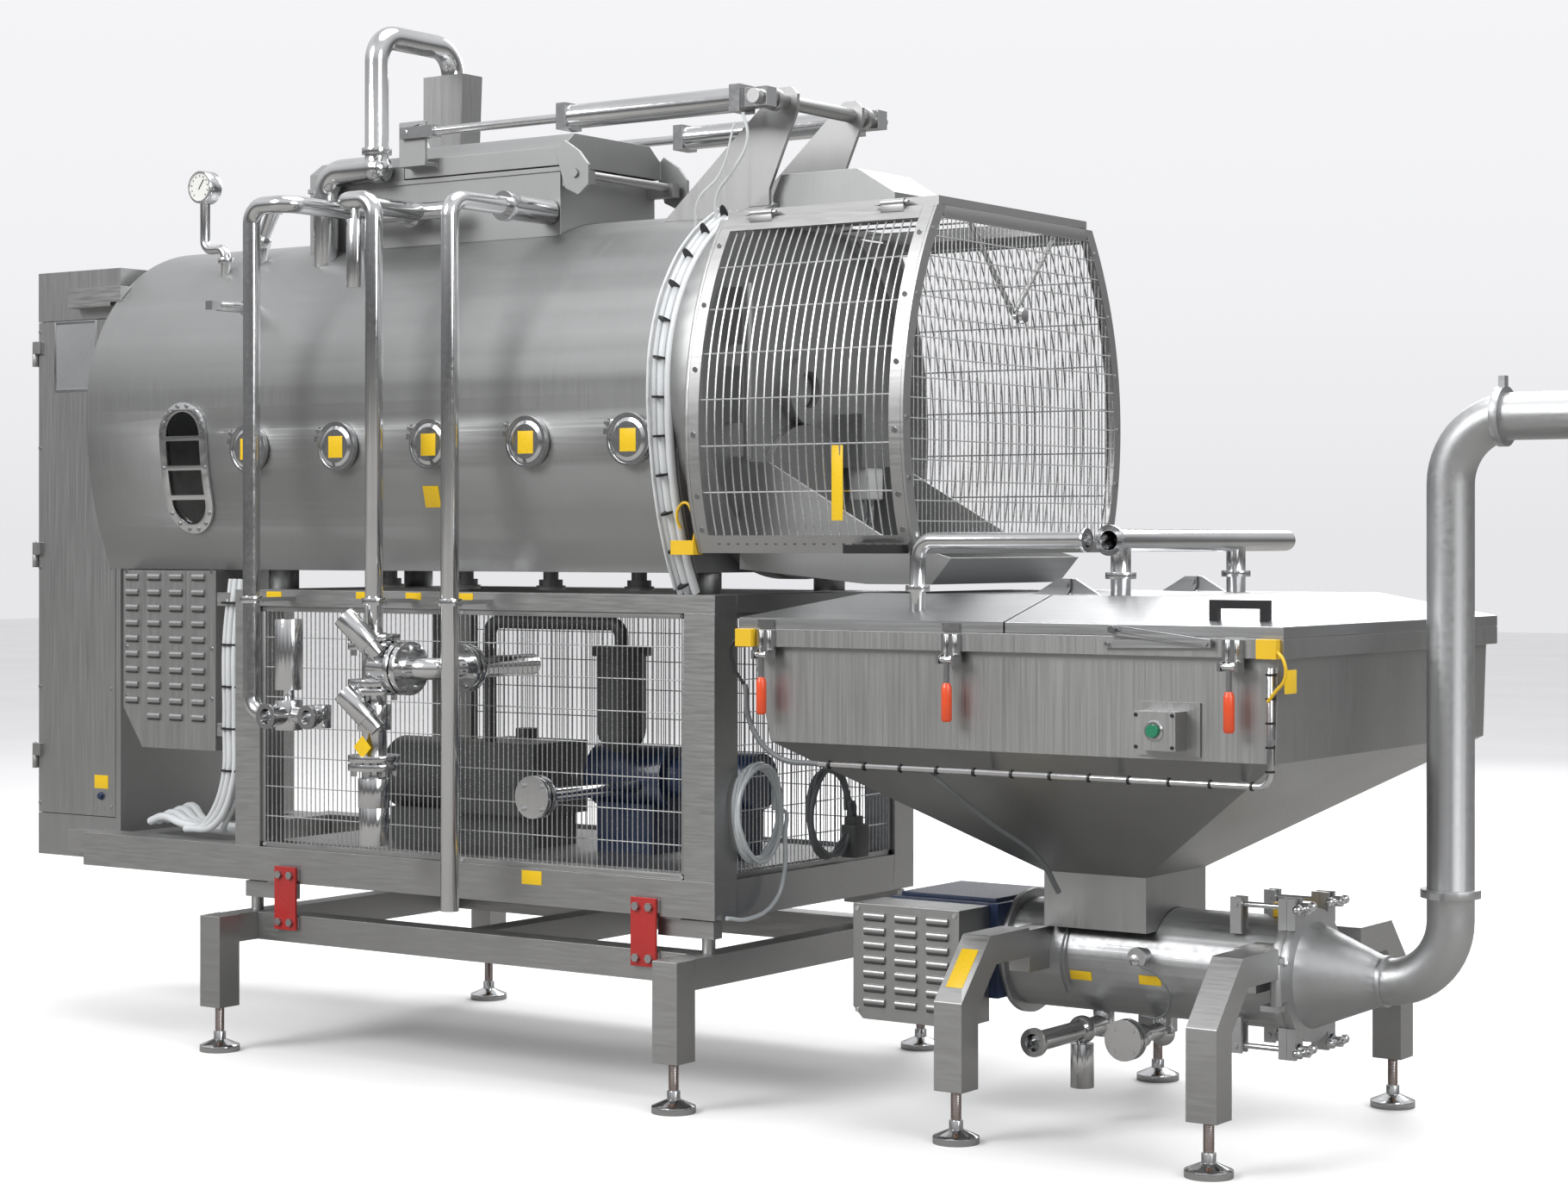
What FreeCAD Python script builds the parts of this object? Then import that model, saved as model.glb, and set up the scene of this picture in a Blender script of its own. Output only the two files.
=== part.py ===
import FreeCAD, Part
import Sketcher
import math
import os
import re

# A vacuum steam cooker on load cells beside a free-standing hopper pump.
# Millimetres. +Z is up, +X runs towards the discharge end, -Y is the working side.

os.makedirs("parts", exist_ok=True)
doc = FreeCAD.newDocument("cooker")
sheet = doc.addObject("Spreadsheet::Sheet", "Sizes")

SIZE = dict(
    # the whole part is moved so that the origin is under its middle
    datum_y=58.35,
    # base frame and feet
    tube=80, foot_x_left=-1435, foot_x_right=220, foot_y=600, leg_low=130, base_top=395,
    foot_r=58, foot_pad=34, spindle_r=12,
    # machine frame
    frame_left=-2034, frame_right=268, frame_y=486, frame_low=487, rail=100, frame_top=1341,
    top_rail=48, post_left=-1487, cell=46,
    # vessel
    axis_z=1900, vessel_r=500, wall=12, vessel_left=-2110, vessel_right=150, flange_out=22,
    flange_end=225, port_z=1755, port_r=62, port_first=-1408, port_step=353,
    window_x=-1689, window_half=78, window_z=1702, window_rise=98,
    # mixing shaft
    shaft_r=45, fit_gap=0.06, paddle_gap=48,
    # discharge door
    door_rise=212, door_open_r=165, door_r=192, door_hinge_y=-250,
    # feed neck, lid and cylinders
    neck_left=-1440, neck_right=-468, neck_y=220, neck_top=2545, lid_left=-1052, lid_right=-452,
    hatch_hinge_x=-400, hatch_hinge_z=2520, clevis_x=-995, clevis_z=2672, cross_x=270,
    cross_z=2672, cyl_y=272, barrel_r=34, rod_r=13, cross_r=20, slot_r=15,
    # guard
    guard_right=894, guard_left=236, guard_low=1452, guard_high=2334, guard_axis_y=430,
    guard_axis_z=1790, hose_r=11.5, skirt_r=1100, skirt_z=1850, skirt_low=1398, guard_r=992, strip=38,
    sheet_t=4,
    # cabinet
    cab_left=-2520, cab_right=-2142, cab_near=-333, cab_far=430, cab_low=487, cab_top=2337,
    # polished pipes on the working side
    pipe_r=25, pipe_y=-650, pipe_a=-1256, pipe_b=-783, pipe_c=-505,
    # pump unit
    unit_y=14, foot_x_in=1028, foot_x_out=1719, unit_foot_y=530, housing_left=930,
    housing_right=1700, pump_z=410, housing_r=140, housing_wall=8, riser_x=2097, riser_r=57,
    riser_top=1780, outlet_end=2536, bend=160, swing_x=1735, swing_out=64,
    # hopper
    hop_left=449, hop_right=1962, hop_half=641, wall_low=976, rim_low=1204, rim_top=1262,
    neck_in=1067, neck_out=1360, neck_half=165, neck_low=640, split_x=1230, lid_z=1289,
    lid_peak=1350, lid_in=230, flap_hinge_z=1376, flap_hinge_x=1222,
)
for row, (word, number) in enumerate(sorted(SIZE.items()), start=1):
    sheet.set("A%d" % row, word)
    sheet.set("B%d" % row, str(number))
    sheet.setAlias("B%d" % row, word)
doc.recompute()


def full(text):
    # the sheet's name goes in front of each size word
    return re.sub(r"[a-z][a-z_0-9]+",
                  lambda m: "Sizes." + m.group(0) if m.group(0) in SIZE else m.group(0), str(text))


def bind(obj, prop, text):
    obj.setExpression(prop, full(text))


V = FreeCAD.Vector
WAY = {"+X": V(1, 0, 0), "-X": V(-1, 0, 0), "+Y": V(0, 1, 0), "-Y": V(0, -1, 0),
       "+Z": V(0, 0, 1), "-Z": V(0, 0, -1)}
count = [0]


def new(kind):
    count[0] += 1
    return doc.addObject(kind, "piece%d" % count[0])


def at(obj, x, y, z, turn=None):
    # put an object's own origin at x, y, z
    if turn is not None:
        obj.Placement = FreeCAD.Placement(V(0, 0, 0), turn)
    bind(obj, "Placement.Base.x", x)
    bind(obj, "Placement.Base.y", y)
    bind(obj, "Placement.Base.z", z)
    return obj


def facing(way):
    if isinstance(way, str):
        way = WAY[way]
    return FreeCAD.Rotation(V(0, 0, 1), way)


def box(x, y, z, dx, dy, dz, turn=None):
    o = new("Part::Box")
    bind(o, "Length", dx)
    bind(o, "Width", dy)
    bind(o, "Height", dz)
    return at(o, x, y, z, turn)


def cyl(x, y, z, r, length, way="+Z"):
    o = new("Part::Cylinder")
    bind(o, "Radius", r)
    bind(o, "Height", length)
    return at(o, x, y, z, facing(way))


def cone(x, y, z, r1, r2, length, way="+Z"):
    o = new("Part::Cone")
    bind(o, "Radius1", r1)
    bind(o, "Radius2", r2)
    bind(o, "Height", length)
    return at(o, x, y, z, facing(way))


def ball(x, y, z, r):
    o = new("Part::Sphere")
    bind(o, "Radius", r)
    return at(o, x, y, z)


def hexagon(x, y, z, r, length, way="+Z"):
    o = new("Part::Prism")
    o.Polygon = 6
    bind(o, "Circumradius", r)
    bind(o, "Height", length)
    return at(o, x, y, z, facing(way))


def cut(a, *tools):
    o = new("Part::Cut")
    o.Base = a
    o.Tool = tools[0] if len(tools) == 1 else fuse(*tools)
    return o


def fuse(*parts):
    o = new("Part::MultiFuse")
    o.Shapes = list(parts)
    return o


def common(a, b):
    o = new("Part::Common")
    o.Base = a
    o.Tool = b
    return o


def tube(x, y, z, r, inner, length, way="+Z"):
    return cut(cyl(x, y, z, r, length, way), cyl(x, y, z, inner, length, way))


def elbow(x, y, z, r, bend, a, b):
    # a quarter bend whose centre lines would meet at x, y, z
    a = WAY[a]
    b = WAY[b]
    o = new("Part::Torus")
    bind(o, "Radius1", bend)
    bind(o, "Radius2", r)
    o.Angle3 = 90
    turn = FreeCAD.Rotation(b * -1, a, a.cross(b), "XYZ")
    d = b - a
    return at(o, "%s + (%s) * %d" % (x, bend, d.x), "%s + (%s) * %d" % (y, bend, d.y),
              "%s + (%s) * %d" % (z, bend, d.z), turn)


def run(x, y, z, r, bend, moves):
    # a pipe with quarter bends; moves is a list of (way, length)
    parts = []
    p = [x, y, z]
    for i, (way, length) in enumerate(moves):
        d = WAY[way]
        first = bend if i else "0"
        last = bend if i + 1 < len(moves) else "0"
        q = ["%s + (%s) * %d" % (c, first, e) if e else c for c, e in zip(p, d)]
        parts.append(cyl(q[0], q[1], q[2], r, "(%s) - (%s) - (%s)" % (length, first, last), way))
        p = ["%s + (%s) * %d" % (c, length, e) if e else c for c, e in zip(p, d)]
        if i + 1 < len(moves):
            parts.append(elbow(p[0], p[1], p[2], r, bend, way, moves[i + 1][0]))
    return fuse(*parts) if len(parts) > 1 else parts[0]


def profile(plane, points, start, depth):
    # a closed outline of (first, second) pairs, pushed along the third axis
    sk = new("Sketcher::SketchObject")
    turn = {"XY": FreeCAD.Rotation(), "XZ": FreeCAD.Rotation(V(1, 0, 0), 90),
            "YZ": FreeCAD.Rotation(V(0, 1, 0), V(0, 0, 1), V(1, 0, 0), "XYZ")}[plane]
    where = {"XY": ("0", "0", start), "XZ": ("0", start, "0"), "YZ": (start, "0", "0")}[plane]
    at(sk, where[0], where[1], where[2], turn)
    probe = new("App::FeaturePython")
    probe.addProperty("App::PropertyFloat", "value")
    flat = []
    for pair in points:
        both = []
        for word in pair:
            bind(probe, "value", word)
            probe.recompute()
            both.append(float(probe.value))
        flat.append(both)
    doc.removeObject(probe.Name)
    n = len(flat)
    for i in range(n):
        a = flat[i]
        b = flat[(i + 1) % n]
        sk.addGeometry(Part.LineSegment(V(a[0], a[1], 0), V(b[0], b[1], 0)), False)
    for i in range(n):
        sk.addConstraint(Sketcher.Constraint("Coincident", i, 2, (i + 1) % n, 1))
    for i in range(n):
        k = sk.addConstraint(Sketcher.Constraint("DistanceX", -1, 1, i, 1, flat[i][0]))
        sk.setExpression("Constraints[%d]" % k, full(points[i][0]))
        k = sk.addConstraint(Sketcher.Constraint("DistanceY", -1, 1, i, 1, flat[i][1]))
        sk.setExpression("Constraints[%d]" % k, full(points[i][1]))
    o = new("Part::Extrusion")
    o.Base = sk
    o.DirMode = "Custom"
    o.Dir = {"XY": V(0, 0, 1), "XZ": V(0, 1, 0), "YZ": V(1, 0, 0)}[plane]
    o.Solid = True
    bind(o, "LengthFwd", depth)
    return o


nodes = []


def node(name, *parts):
    # one or more solids under one name
    if len(parts) == 1:
        o = parts[0]
    else:
        o = new("Part::Compound")
        o.Links = list(parts)
    o.Label = name
    nodes.append(o)
    return o


def both_sides(make):
    # the same piece on the near side (-1) and the far side (+1)
    return [make("-1"), make("1")]


# ---- base frame: four legs, two cross arms over them, two long rails inboard ----
solids = []
for x in ("foot_x_left", "foot_x_right"):
    for s in ("-1", "1"):
        solids.append(box("%s - tube / 2" % x, "%s * foot_y - tube / 2" % s, "leg_low",
                          "tube", "tube", "base_top - leg_low"))
    solids.append(box("%s - tube / 2" % x, "tube / 2 - foot_y", "base_top - tube",
                      "tube", "2 * foot_y - tube", "tube"))
for y in ("-frame_y", "frame_y - tube"):
    solids.append(box("foot_x_left + tube / 2", y, "base_top - tube",
                      "foot_x_right - foot_x_left - tube", "tube", "tube"))
solids.append(box("-640", "tube - frame_y", "base_top - tube", "tube",
                  "2 * frame_y - 2 * tube", "tube"))
node("base_frame", *solids)


def foot(x, y):
    pad = fuse(cyl(x, y, "0", "foot_r", "foot_pad / 2"),
               cone(x, y, "foot_pad / 2", "foot_r", "foot_r * 0.34", "foot_pad / 2"),
               cyl(x, y, "foot_pad", "foot_r * 0.3", "22"),
               cyl(x, y, "foot_pad + 22", "spindle_r", "leg_low - foot_pad - 22"))
    return pad


node("machine_feet", *[foot(x, y) for x in ("foot_x_left", "foot_x_right")
                       for y in ("-foot_y", "foot_y")])


# ---- load cells between the two frames ----
solids = []
for x, s in (("foot_x_left", "1"), ("foot_x_right", "-1")):
    for y in ("-frame_y + tube / 2", "frame_y - tube / 2"):
        solids.append(fuse(
            cyl(x, y, "base_top", "18", "frame_low - base_top - cell - 6"),
            box("%s + %s * 62 - 92" % (x, s), "%s - 19" % y, "frame_low - cell - 6", "184", "38", "cell"),
            box("%s + %s * 112 - 42" % (x, s), "%s - 30" % y, "frame_low - 6", "84", "60", "6")))
node("load_cells", *solids)
solids = []
for x in ("-1272", "42"):
    solids.append(box("%s - 42" % x, "-frame_y - 14", "352", "84", "8", "184"))
node("transport_brackets", *solids)
solids = []
for x in ("-1272", "42"):
    for dz in ("372", "512"):
        solids.append(box("%s - 40" % x, "-frame_y - 6", "%s - 16" % dz, "88", "6", "36"))
    for dx in ("-22", "22"):
        for dz in ("375", "512"):
            solids.append(hexagon("%s + %s" % (x, dx), "-frame_y - 14", dz, "12", "9", "-Y"))
node("bracket_bolts", *solids)

# ---- machine frame ----
solids = []
for y in ("-frame_y", "frame_y - rail"):
    solids.append(box("frame_left", y, "frame_low", "frame_right - frame_left", "rail", "rail"))
    for x in ("post_left", "frame_right - rail"):
        solids.append(box(x, y, "frame_low + rail", "rail", "rail",
                          "frame_top - frame_low - rail - top_rail"))
    solids.append(box("post_left", y, "frame_top - top_rail", "frame_right - post_left",
                      "rail", "top_rail"))
for x in ("frame_left", "post_left", "frame_right - rail"):
    solids.append(box(x, "rail - frame_y", "frame_low", "rail", "2 * frame_y - 2 * rail", "rail"))
for x in ("post_left", "frame_right - rail"):
    solids.append(box(x, "rail - frame_y", "frame_top - top_rail", "rail",
                      "2 * frame_y - 2 * rail", "top_rail"))
node("machine_frame", *solids)

# a wire mesh in its own thin border, shown as one pierced sheet
MESH_LOW = "frame_low + rail + 0.3"
MESH_H = "frame_top - top_rail - frame_low - rail - 0.6"


def mesh_long(y):
    plate = box("post_left + rail + 0.3", y, MESH_LOW, "frame_right - post_left - 2 * rail - 0.6",
                "sheet_t", MESH_H)
    holes = []
    for i in range(6):
        holes.append(box("post_left + rail + 25 + %d * (frame_right - post_left - 2 * rail - 30) / 6" % i,
                         "%s - 5" % y, "%s + 25" % MESH_LOW,
                         "(frame_right - post_left - 2 * rail - 30) / 6 - 20", "sheet_t + 10",
                         "%s - 50" % MESH_H))
    return cut(plate, *holes)


node("mesh_near", mesh_long("-frame_y + 12"))
node("mesh_far", mesh_long("frame_y - 12 - sheet_t"))
plate = box("frame_right - 16", "rail + 0.3 - frame_y", MESH_LOW, "sheet_t",
            "2 * frame_y - 2 * rail - 0.6", MESH_H)
holes = [box("frame_right - 21", "rail + 25 - frame_y + %d * (2 * frame_y - 2 * rail - 30) / 4" % i,
             "%s + 25" % MESH_LOW, "sheet_t + 10", "(2 * frame_y - 2 * rail - 30) / 4 - 20",
             "%s - 50" % MESH_H) for i in range(4)]
node("mesh_end", cut(plate, *holes))

# ---- vessel: jacketed shell, domed left end, welded ports, end flange ----


def skirt(extra, x, length):
    # the lower half of the cladding: two wide arcs down to a flat bottom
    wide = "skirt_r + (%s)" % extra
    low = "skirt_low - (%s)" % extra
    return common(common(cyl(x, "skirt_r - vessel_r", "skirt_z", wide, length, "+X"),
                         cyl(x, "vessel_r - skirt_r", "skirt_z", wide, length, "+X")),
                  box("%s - 1" % x, "-700", low, "%s + 2" % length, "1400", "axis_z - (%s)" % low))


def vessel(extra="0.3"):
    # a tool in the shape of the shell and its cladding, to cut neighbours clear of it
    return fuse(cyl("vessel_left", "0", "axis_z", "vessel_r + %s" % extra, "vessel_right - vessel_left",
                    "+X"),
                skirt(extra, "vessel_left", "vessel_right - vessel_left"))


RI = "vessel_r - wall"
shell = fuse(
    cut(skirt("0", "vessel_left", "vessel_right - vessel_left"),
        skirt("-4", "vessel_left + 6", "vessel_right - vessel_left - 12")),
    skirt("-26", "vessel_left - 22", "23"),
    cyl("vessel_left", "0", "axis_z", "vessel_r", "vessel_right - vessel_left", "+X"),
    cone("vessel_left", "0", "axis_z", "vessel_r", "vessel_r - 60", "30", "-X"),
    tube("vessel_right", "0", "axis_z", "(vessel_r + flange_out)", RI, "flange_end - vessel_right", "+X"),
    *[cyl("port_first + %d * port_step" % i, "-vessel_r - 6", "port_z", "port_r - 8", "120", "+Y")
      for i in range(5)])
hollow = cyl("vessel_left + 4", "0", "axis_z", RI, "vessel_right - vessel_left + 60", "+X")
bores = [cyl("port_first + %d * port_step" % i, "-vessel_r - 20", "port_z", "port_r - 16", "160", "+Y")
         for i in range(5)]
feed = box("lid_left + 12", "14 - neck_y", "axis_z", "neck_right - lid_left - 26",
           "2 * neck_y - 28", "700")
window = fuse(cyl("window_x", "-620", "window_z - window_rise", "window_half", "400", "+Y"),
              cyl("window_x", "-620", "window_z + window_rise", "window_half", "400", "+Y"),
              box("window_x - window_half", "-620", "window_z - window_rise", "2 * window_half", "400",
                  "2 * window_rise"))
bearing = cyl("vessel_left - 60", "0", "axis_z", "shaft_r + fit_gap", "120", "+X")
node("vessel_shell", cut(shell, hollow, feed, window, bearing, *bores))
plate = cyl("flange_end - 45", "0", "axis_z", "vessel_r - wall - 0.3", "22", "+X")
node("vessel_end_plate", cut(plate,
                             cyl("flange_end - 60", "0", "(axis_z - vessel_r + door_rise)", "door_open_r",
                                 "60", "+X"),
                             cyl("flange_end - 60", "0", "axis_z", "shaft_r + fit_gap", "60", "+X")))

# supports between vessel and frame, shaped to the shell
solids = []
for x in ("-1470", "100"):
    for y in ("-300", "300"):
        solids.append(cyl(x, y, "frame_top", "45", "220"))
for x in ("-1386", "40"):
    solids.append(box(x, "-386", "frame_top - top_rail", "60", "772", "top_rail - 2"))
near = cut(fuse(*solids[:4]), vessel("0.5"))
node("vessel_supports", near)
node("support_beams", *solids[4:])
solids = []
for i, x in enumerate(("-1180", "-880", "-560", "-240", "-60")):
    drop = cut(fuse(cyl(x, "-150", "1372", "22", "150"), cyl(x, "-150", "frame_top + 3", "42", "12"),
                    cyl(x, "-150", "frame_top + 15", "34", "17")),
               vessel("0.5"))
    solids.append(drop)
node("bottom_nozzles", *solids)

# ---- mixing shaft with paddles ----
arms = []
for i in range(7):
    x = "-1880 + %d * 290" % i
    way = FreeCAD.Rotation(V(1, 0, 0), 60 * i)
    up = way.multVec(V(0, 0, 1))
    arms.append(cyl(x, "0", "axis_z", "18", "(vessel_r - wall - paddle_gap) - 10", up))
    pad = new("Part::Box")
    bind(pad, "Length", "14")
    bind(pad, "Width", "110")
    bind(pad, "Height", "90")
    c = up * 1.0
    side = way.multVec(V(0, 1, 0))
    at(pad, "%s - 7" % x, "%f * ((vessel_r - wall - paddle_gap) - 90) - 55 * %f" % (c.y, side.y),
       "axis_z + %f * ((vessel_r - wall - paddle_gap) - 90) - 55 * %f" % (c.z, side.z), way)
    arms.append(pad)
node("mixer_shaft", fuse(cyl("vessel_left - 28", "0", "axis_z", "shaft_r",
                             "flange_end - 12 - vessel_left + 28", "+X"), *arms))

# ---- discharge door on the end plate ----
door = fuse(cyl("flange_end - 22.5", "0", "(axis_z - vessel_r + door_rise)", "door_r", "24", "+X"),
            box("flange_end + 1.5", "door_hinge_y", "(axis_z - vessel_r + door_rise) - 20", "16",
                "-door_hinge_y + 120", "40"),
            cyl("flange_end + 12", "door_hinge_y", "(axis_z - vessel_r + door_rise) - 60", "16", "120"))
node("discharge_door", cut(door, cyl("flange_end + 12", "door_hinge_y",
                                     "(axis_z - vessel_r + door_rise) - 70", "10.06", "140")))
solids = [cyl("flange_end + 12", "door_hinge_y", "(axis_z - vessel_r + door_rise) - 84", "10", "168")]
for z in ("(axis_z - vessel_r + door_rise) - 92", "(axis_z - vessel_r + door_rise) + 60.3"):
    solids.append(box("flange_end - 23", "door_hinge_y - 16", z, "51", "32", "31.7"))
node("door_hinge", fuse(*solids))
solids = []
for y, z in (("-330", "1800"), ("-330", "2010"), ("-300", "1560")):
    solids.append(box("flange_end - 23", "%s - 22" % y, z, "60", "44", "150"))
solids.append(cyl("flange_end + 40", "-330", "1700", "13", "470"))
solids.append(box("flange_end - 23", "180", "1690", "90", "120", "150"))
solids.append(cyl("flange_end - 23", "0", "axis_z", "95", "36", "+X"))
node("end_fittings", solids[3], *[cut(s, cyl("flange_end + 40", "-330", "1700", "13", "470"))
                                  for s in (solids[0], solids[1], solids[2])],
     solids[4], tube("flange_end - 23", "0", "axis_z", "95", "shaft_r + 6", "36", "+X"))
# chute under the door
chute = profile("XZ", [("guard_left + 0.3", "1408"), ("640", "1372"), ("840", "1372"), ("900", "1440"),
                       ("700", "1492"), ("330", "1694"), ("guard_left + 0.3", "1694")], "-330", "660")
inner = profile("XZ", [("flange_end - 5", "1414"), ("640", "1378"), ("838", "1378"), ("920", "1470"),
                       ("920", "1900"), ("flange_end - 5", "1900")], "-324", "648")
node("discharge_chute", cut(chute, inner))


def outer():
    return cyl("vessel_right - 1", "0", "axis_z", "(vessel_r + flange_out) + 0.8",
               "flange_end - vessel_right + 1.3",
               "+X")


# ---- feed neck with its fixed roof at the left ----
neck = fuse(box("neck_left", "-neck_y", "2200", "neck_right - neck_left", "2 * neck_y",
                "neck_top - 2200"),
            box("neck_left - 6", "-neck_y - 4", "neck_top - 14", "neck_right - neck_left + 12",
                "2 * neck_y + 8", "14"))
inside = box("neck_left + 6", "6 - neck_y", "2100", "neck_right - neck_left - 12", "2 * neck_y - 12",
             "600")
node("feed_neck", cut(neck, inside, vessel()))
trapeze = [("-neck_y", "neck_top"), ("neck_y", "neck_top"), ("neck_y", "neck_top + 42"),
           ("neck_y - 52", "neck_top + 78"), ("52 - neck_y", "neck_top + 78"),
           ("-neck_y", "neck_top + 42")]
lower = [("6 - neck_y", "neck_top - 1"), ("neck_y - 6", "neck_top - 1"), ("neck_y - 6", "neck_top + 40"),
         ("neck_y - 54", "neck_top + 72"), ("54 - neck_y", "neck_top + 72"),
         ("6 - neck_y", "neck_top + 40")]
node("neck_roof", cut(profile("YZ", trapeze, "neck_left", "lid_left - neck_left - 8"),
                      profile("YZ", lower, "neck_left + 6", "lid_left - neck_left - 20")))

# ---- lid: shallow box with hinge plates and slotted lugs ----
LZ = "neck_top + 3"
up = [("-neck_y - 7", LZ), ("neck_y + 7", LZ), ("neck_y + 7", "neck_top + 56"),
      ("neck_y - 46", "neck_top + 98"), ("46 - neck_y", "neck_top + 98"),
      ("-neck_y - 7", "neck_top + 56")]
down = [("-neck_y - 1", "neck_top"), ("neck_y + 1", "neck_top"), ("neck_y + 1", "neck_top + 54"),
        ("neck_y - 48", "neck_top + 92"), ("48 - neck_y", "neck_top + 92"),
        ("-neck_y - 1", "neck_top + 54")]
lid = [cut(profile("YZ", up, "lid_left", "lid_right - lid_left"),
           profile("YZ", down, "lid_left + 6", "lid_right - lid_left - 12"))]
HX = "hatch_hinge_x"
HZ = "hatch_hinge_z"
cheek = [(HX + " - 72", HZ + " + 66"), (HX + " - 40", HZ + " + 96"), (HX + " + 12", HZ + " + 62"),
         (HX + " + 46", HZ + " + 22"), (HX + " + 46", HZ + " - 34"), (HX + " + 10", HZ + " - 62"),
         (HX + " - 38", HZ + " - 40")]
lugs = []
for s in ("-1", "1"):
    y = "%s * (neck_y + 12) - 5" % s
    lid.append(profile("XZ", cheek, y, "10"))
    lug = fuse(box("clevis_x - 32", "%s * cyl_y - 6" % s, "neck_top + 30", "100", "12",
                   "clevis_z - neck_top + 4"),
               box("clevis_x - 32", "%s * (cyl_y / 2 + neck_y / 2 + 4) - (cyl_y - neck_y + 4) / 2" % s,
                   "neck_top + 30", "100", "cyl_y - neck_y + 4", "12"))
    # the slot rises by 11 degrees, along the way that the fork's pin moves in the lug
    way = FreeCAD.Rotation(V(0, 1, 0), -11)
    slot = fuse(cyl("clevis_x", "%s * cyl_y - 10" % s, "clevis_z", "slot_r", "20", "+Y"),
                cyl("clevis_x + 44 * cos(11)", "%s * cyl_y - 10" % s, "clevis_z + 44 * sin(11)",
                    "slot_r", "20", "+Y"),
                box("clevis_x + slot_r * sin(11)", "%s * cyl_y - 10" % s, "clevis_z - slot_r * cos(11)",
                    "44", "20", "2 * slot_r", way))
    lugs.append(cut(lug, slot))
node("hatch_lid", cut(fuse(*(lid + lugs)),
                      cyl(HX, "-300", HZ, "12 + fit_gap", "600", "+Y")))
blocks = [box("neck_right + 0.3", "%s * (neck_y - 22) - 16" % s, HZ + " - 30", "95", "32", "40")
          for s in ("-1", "1")]
node("hatch_hinge", fuse(cyl(HX, "-neck_y - 24", HZ, "12", "2 * neck_y + 48", "+Y"), *blocks))

# ---- cross shaft on two plates, with the lid cylinders outboard ----
shape = [("-190", "2330"), ("cross_x - 45", "cross_z + 22"), ("cross_x - 20", "cross_z + 40"),
         ("cross_x + 20", "cross_z + 40"), ("cross_x + 40", "cross_z + 20"),
         ("cross_x + 40", "cross_z - 22"), ("flange_end - 8", "2440"), ("flange_end - 8", "2330")]
plates = [cut(profile("XZ", shape, y, "12"), vessel(), outer(),
              cyl("cross_x", "-300", "cross_z", "cross_r", "600", "+Y")) for y in ("-166", "152")]
node("shaft_plates", *plates)
node("cross_shaft", fuse(cyl("cross_x", "-cyl_y - 44", "cross_z", "cross_r", "2 * cyl_y + 88", "+Y"),
                         cyl("cross_x", "-cyl_y + 42", "cross_z", "30", "22", "+Y"),
                         cyl("cross_x", "cyl_y - 64", "cross_z", "30", "22", "+Y")))
barrels = []
rods = []
for s in ("-1", "1"):
    y = "%s * cyl_y" % s
    body = fuse(cyl("-390", y, "cross_z", "barrel_r", "cross_x - 50 + 390", "+X"),
                box("-412", "%s - 37" % y, "cross_z - 37", "34", "74", "74"),
                box("cross_x - 84", "%s - 37" % y, "cross_z - 37", "34", "74", "74"),
                box("cross_x - 60", "%s - 24" % y, "cross_z - 26", "90", "48", "52"))
    barrels.append(cut(body, cyl("-378", y, "cross_z", "barrel_r - 6", "cross_x - 90 + 378", "+X"),
                       cyl("-430", y, "cross_z", "rod_r + fit_gap", "80", "+X"),
                       cyl("cross_x", "%s - 60" % y, "cross_z", "cross_r + fit_gap", "120", "+Y")))
    rods.append(fuse(cyl("clevis_x + 80", y, "clevis_z", "rod_r", "-340 - clevis_x - 80", "+X"),
                     cyl("-372", y, "clevis_z", "barrel_r - 6.1", "32", "+X"),
                     box("clevis_x + 78", "%s - 20" % y, "clevis_z - 17", "30", "40", "34"),
                     box("clevis_x - 18", "%s - 20" % y, "clevis_z - 17", "96", "9", "34"),
                     box("clevis_x - 18", "%s + 11" % y, "clevis_z - 17", "96", "9", "34"),
                     cyl("clevis_x", "%s - 24" % y, "clevis_z", "10", "48", "+Y")))
node("cylinder_barrels", *barrels)
node("cylinder_rods", *rods)
# casing behind the plates
node("top_casing", cut(profile("XZ", [("205", "2425"), ("232", "2482"), ("480", "2482"), ("600", "2410"),
                                      ("600", "2359"), ("205", "2359")], "-130", "260"), vessel(),
                                      outer()))

# ---- ports and window ----
covers = []
clamps = []
for i in range(5):
    x = "port_first + %d * port_step" % i
    covers.append(fuse(cyl(x, "-vessel_r - 6.3", "port_z", "port_r + 2", "9", "-Y"),
                       cone(x, "-vessel_r - 15.3", "port_z", "port_r - 4", "port_r - 14", "4", "-Y")))
    clamps.append(fuse(tube(x, "-vessel_r - 0.3", "port_z", "port_r + 9", "port_r + 2.3", "18", "-Y"),
                       box("%s - port_r - 20" % x, "-vessel_r - 18", "port_z + 14", "18", "20", "16")))
node("port_covers", *covers)
node("port_clamps", *clamps)


def oval(half, extra):
    return fuse(cyl("window_x", "-620", "window_z - window_rise", half, "400", "+Y"),
                cyl("window_x", "-620", "window_z + window_rise", half, "400", "+Y"),
                box("window_x - (%s)" % half, "-620", "window_z - window_rise", "2 * (%s)" % half, "400",
                    "2 * window_rise"))


def skin(r1, r2):
    return tube("vessel_left", "skirt_r - vessel_r", "skirt_z", "skirt_r + %s" % r1,
                "skirt_r + (%s)" % r2, "700", "+X")


ring = cut(common(skin("8", "0.3"), cut(oval("window_half + 20", "0"), oval("window_half - 8", "0"))),
           vessel())
bars = [common(skin("8", "1"),
               box("window_x - window_half + 7", "-620", "window_z + %d - 7" % d,
                   "2 * window_half - 14", "400", "14")) for d in (-88, 0, 88)]
node("window_frame", fuse(ring, *bars))
node("window_glass", common(skin("-0.4", "-6.4"), oval("window_half - 3", "0")))

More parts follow.
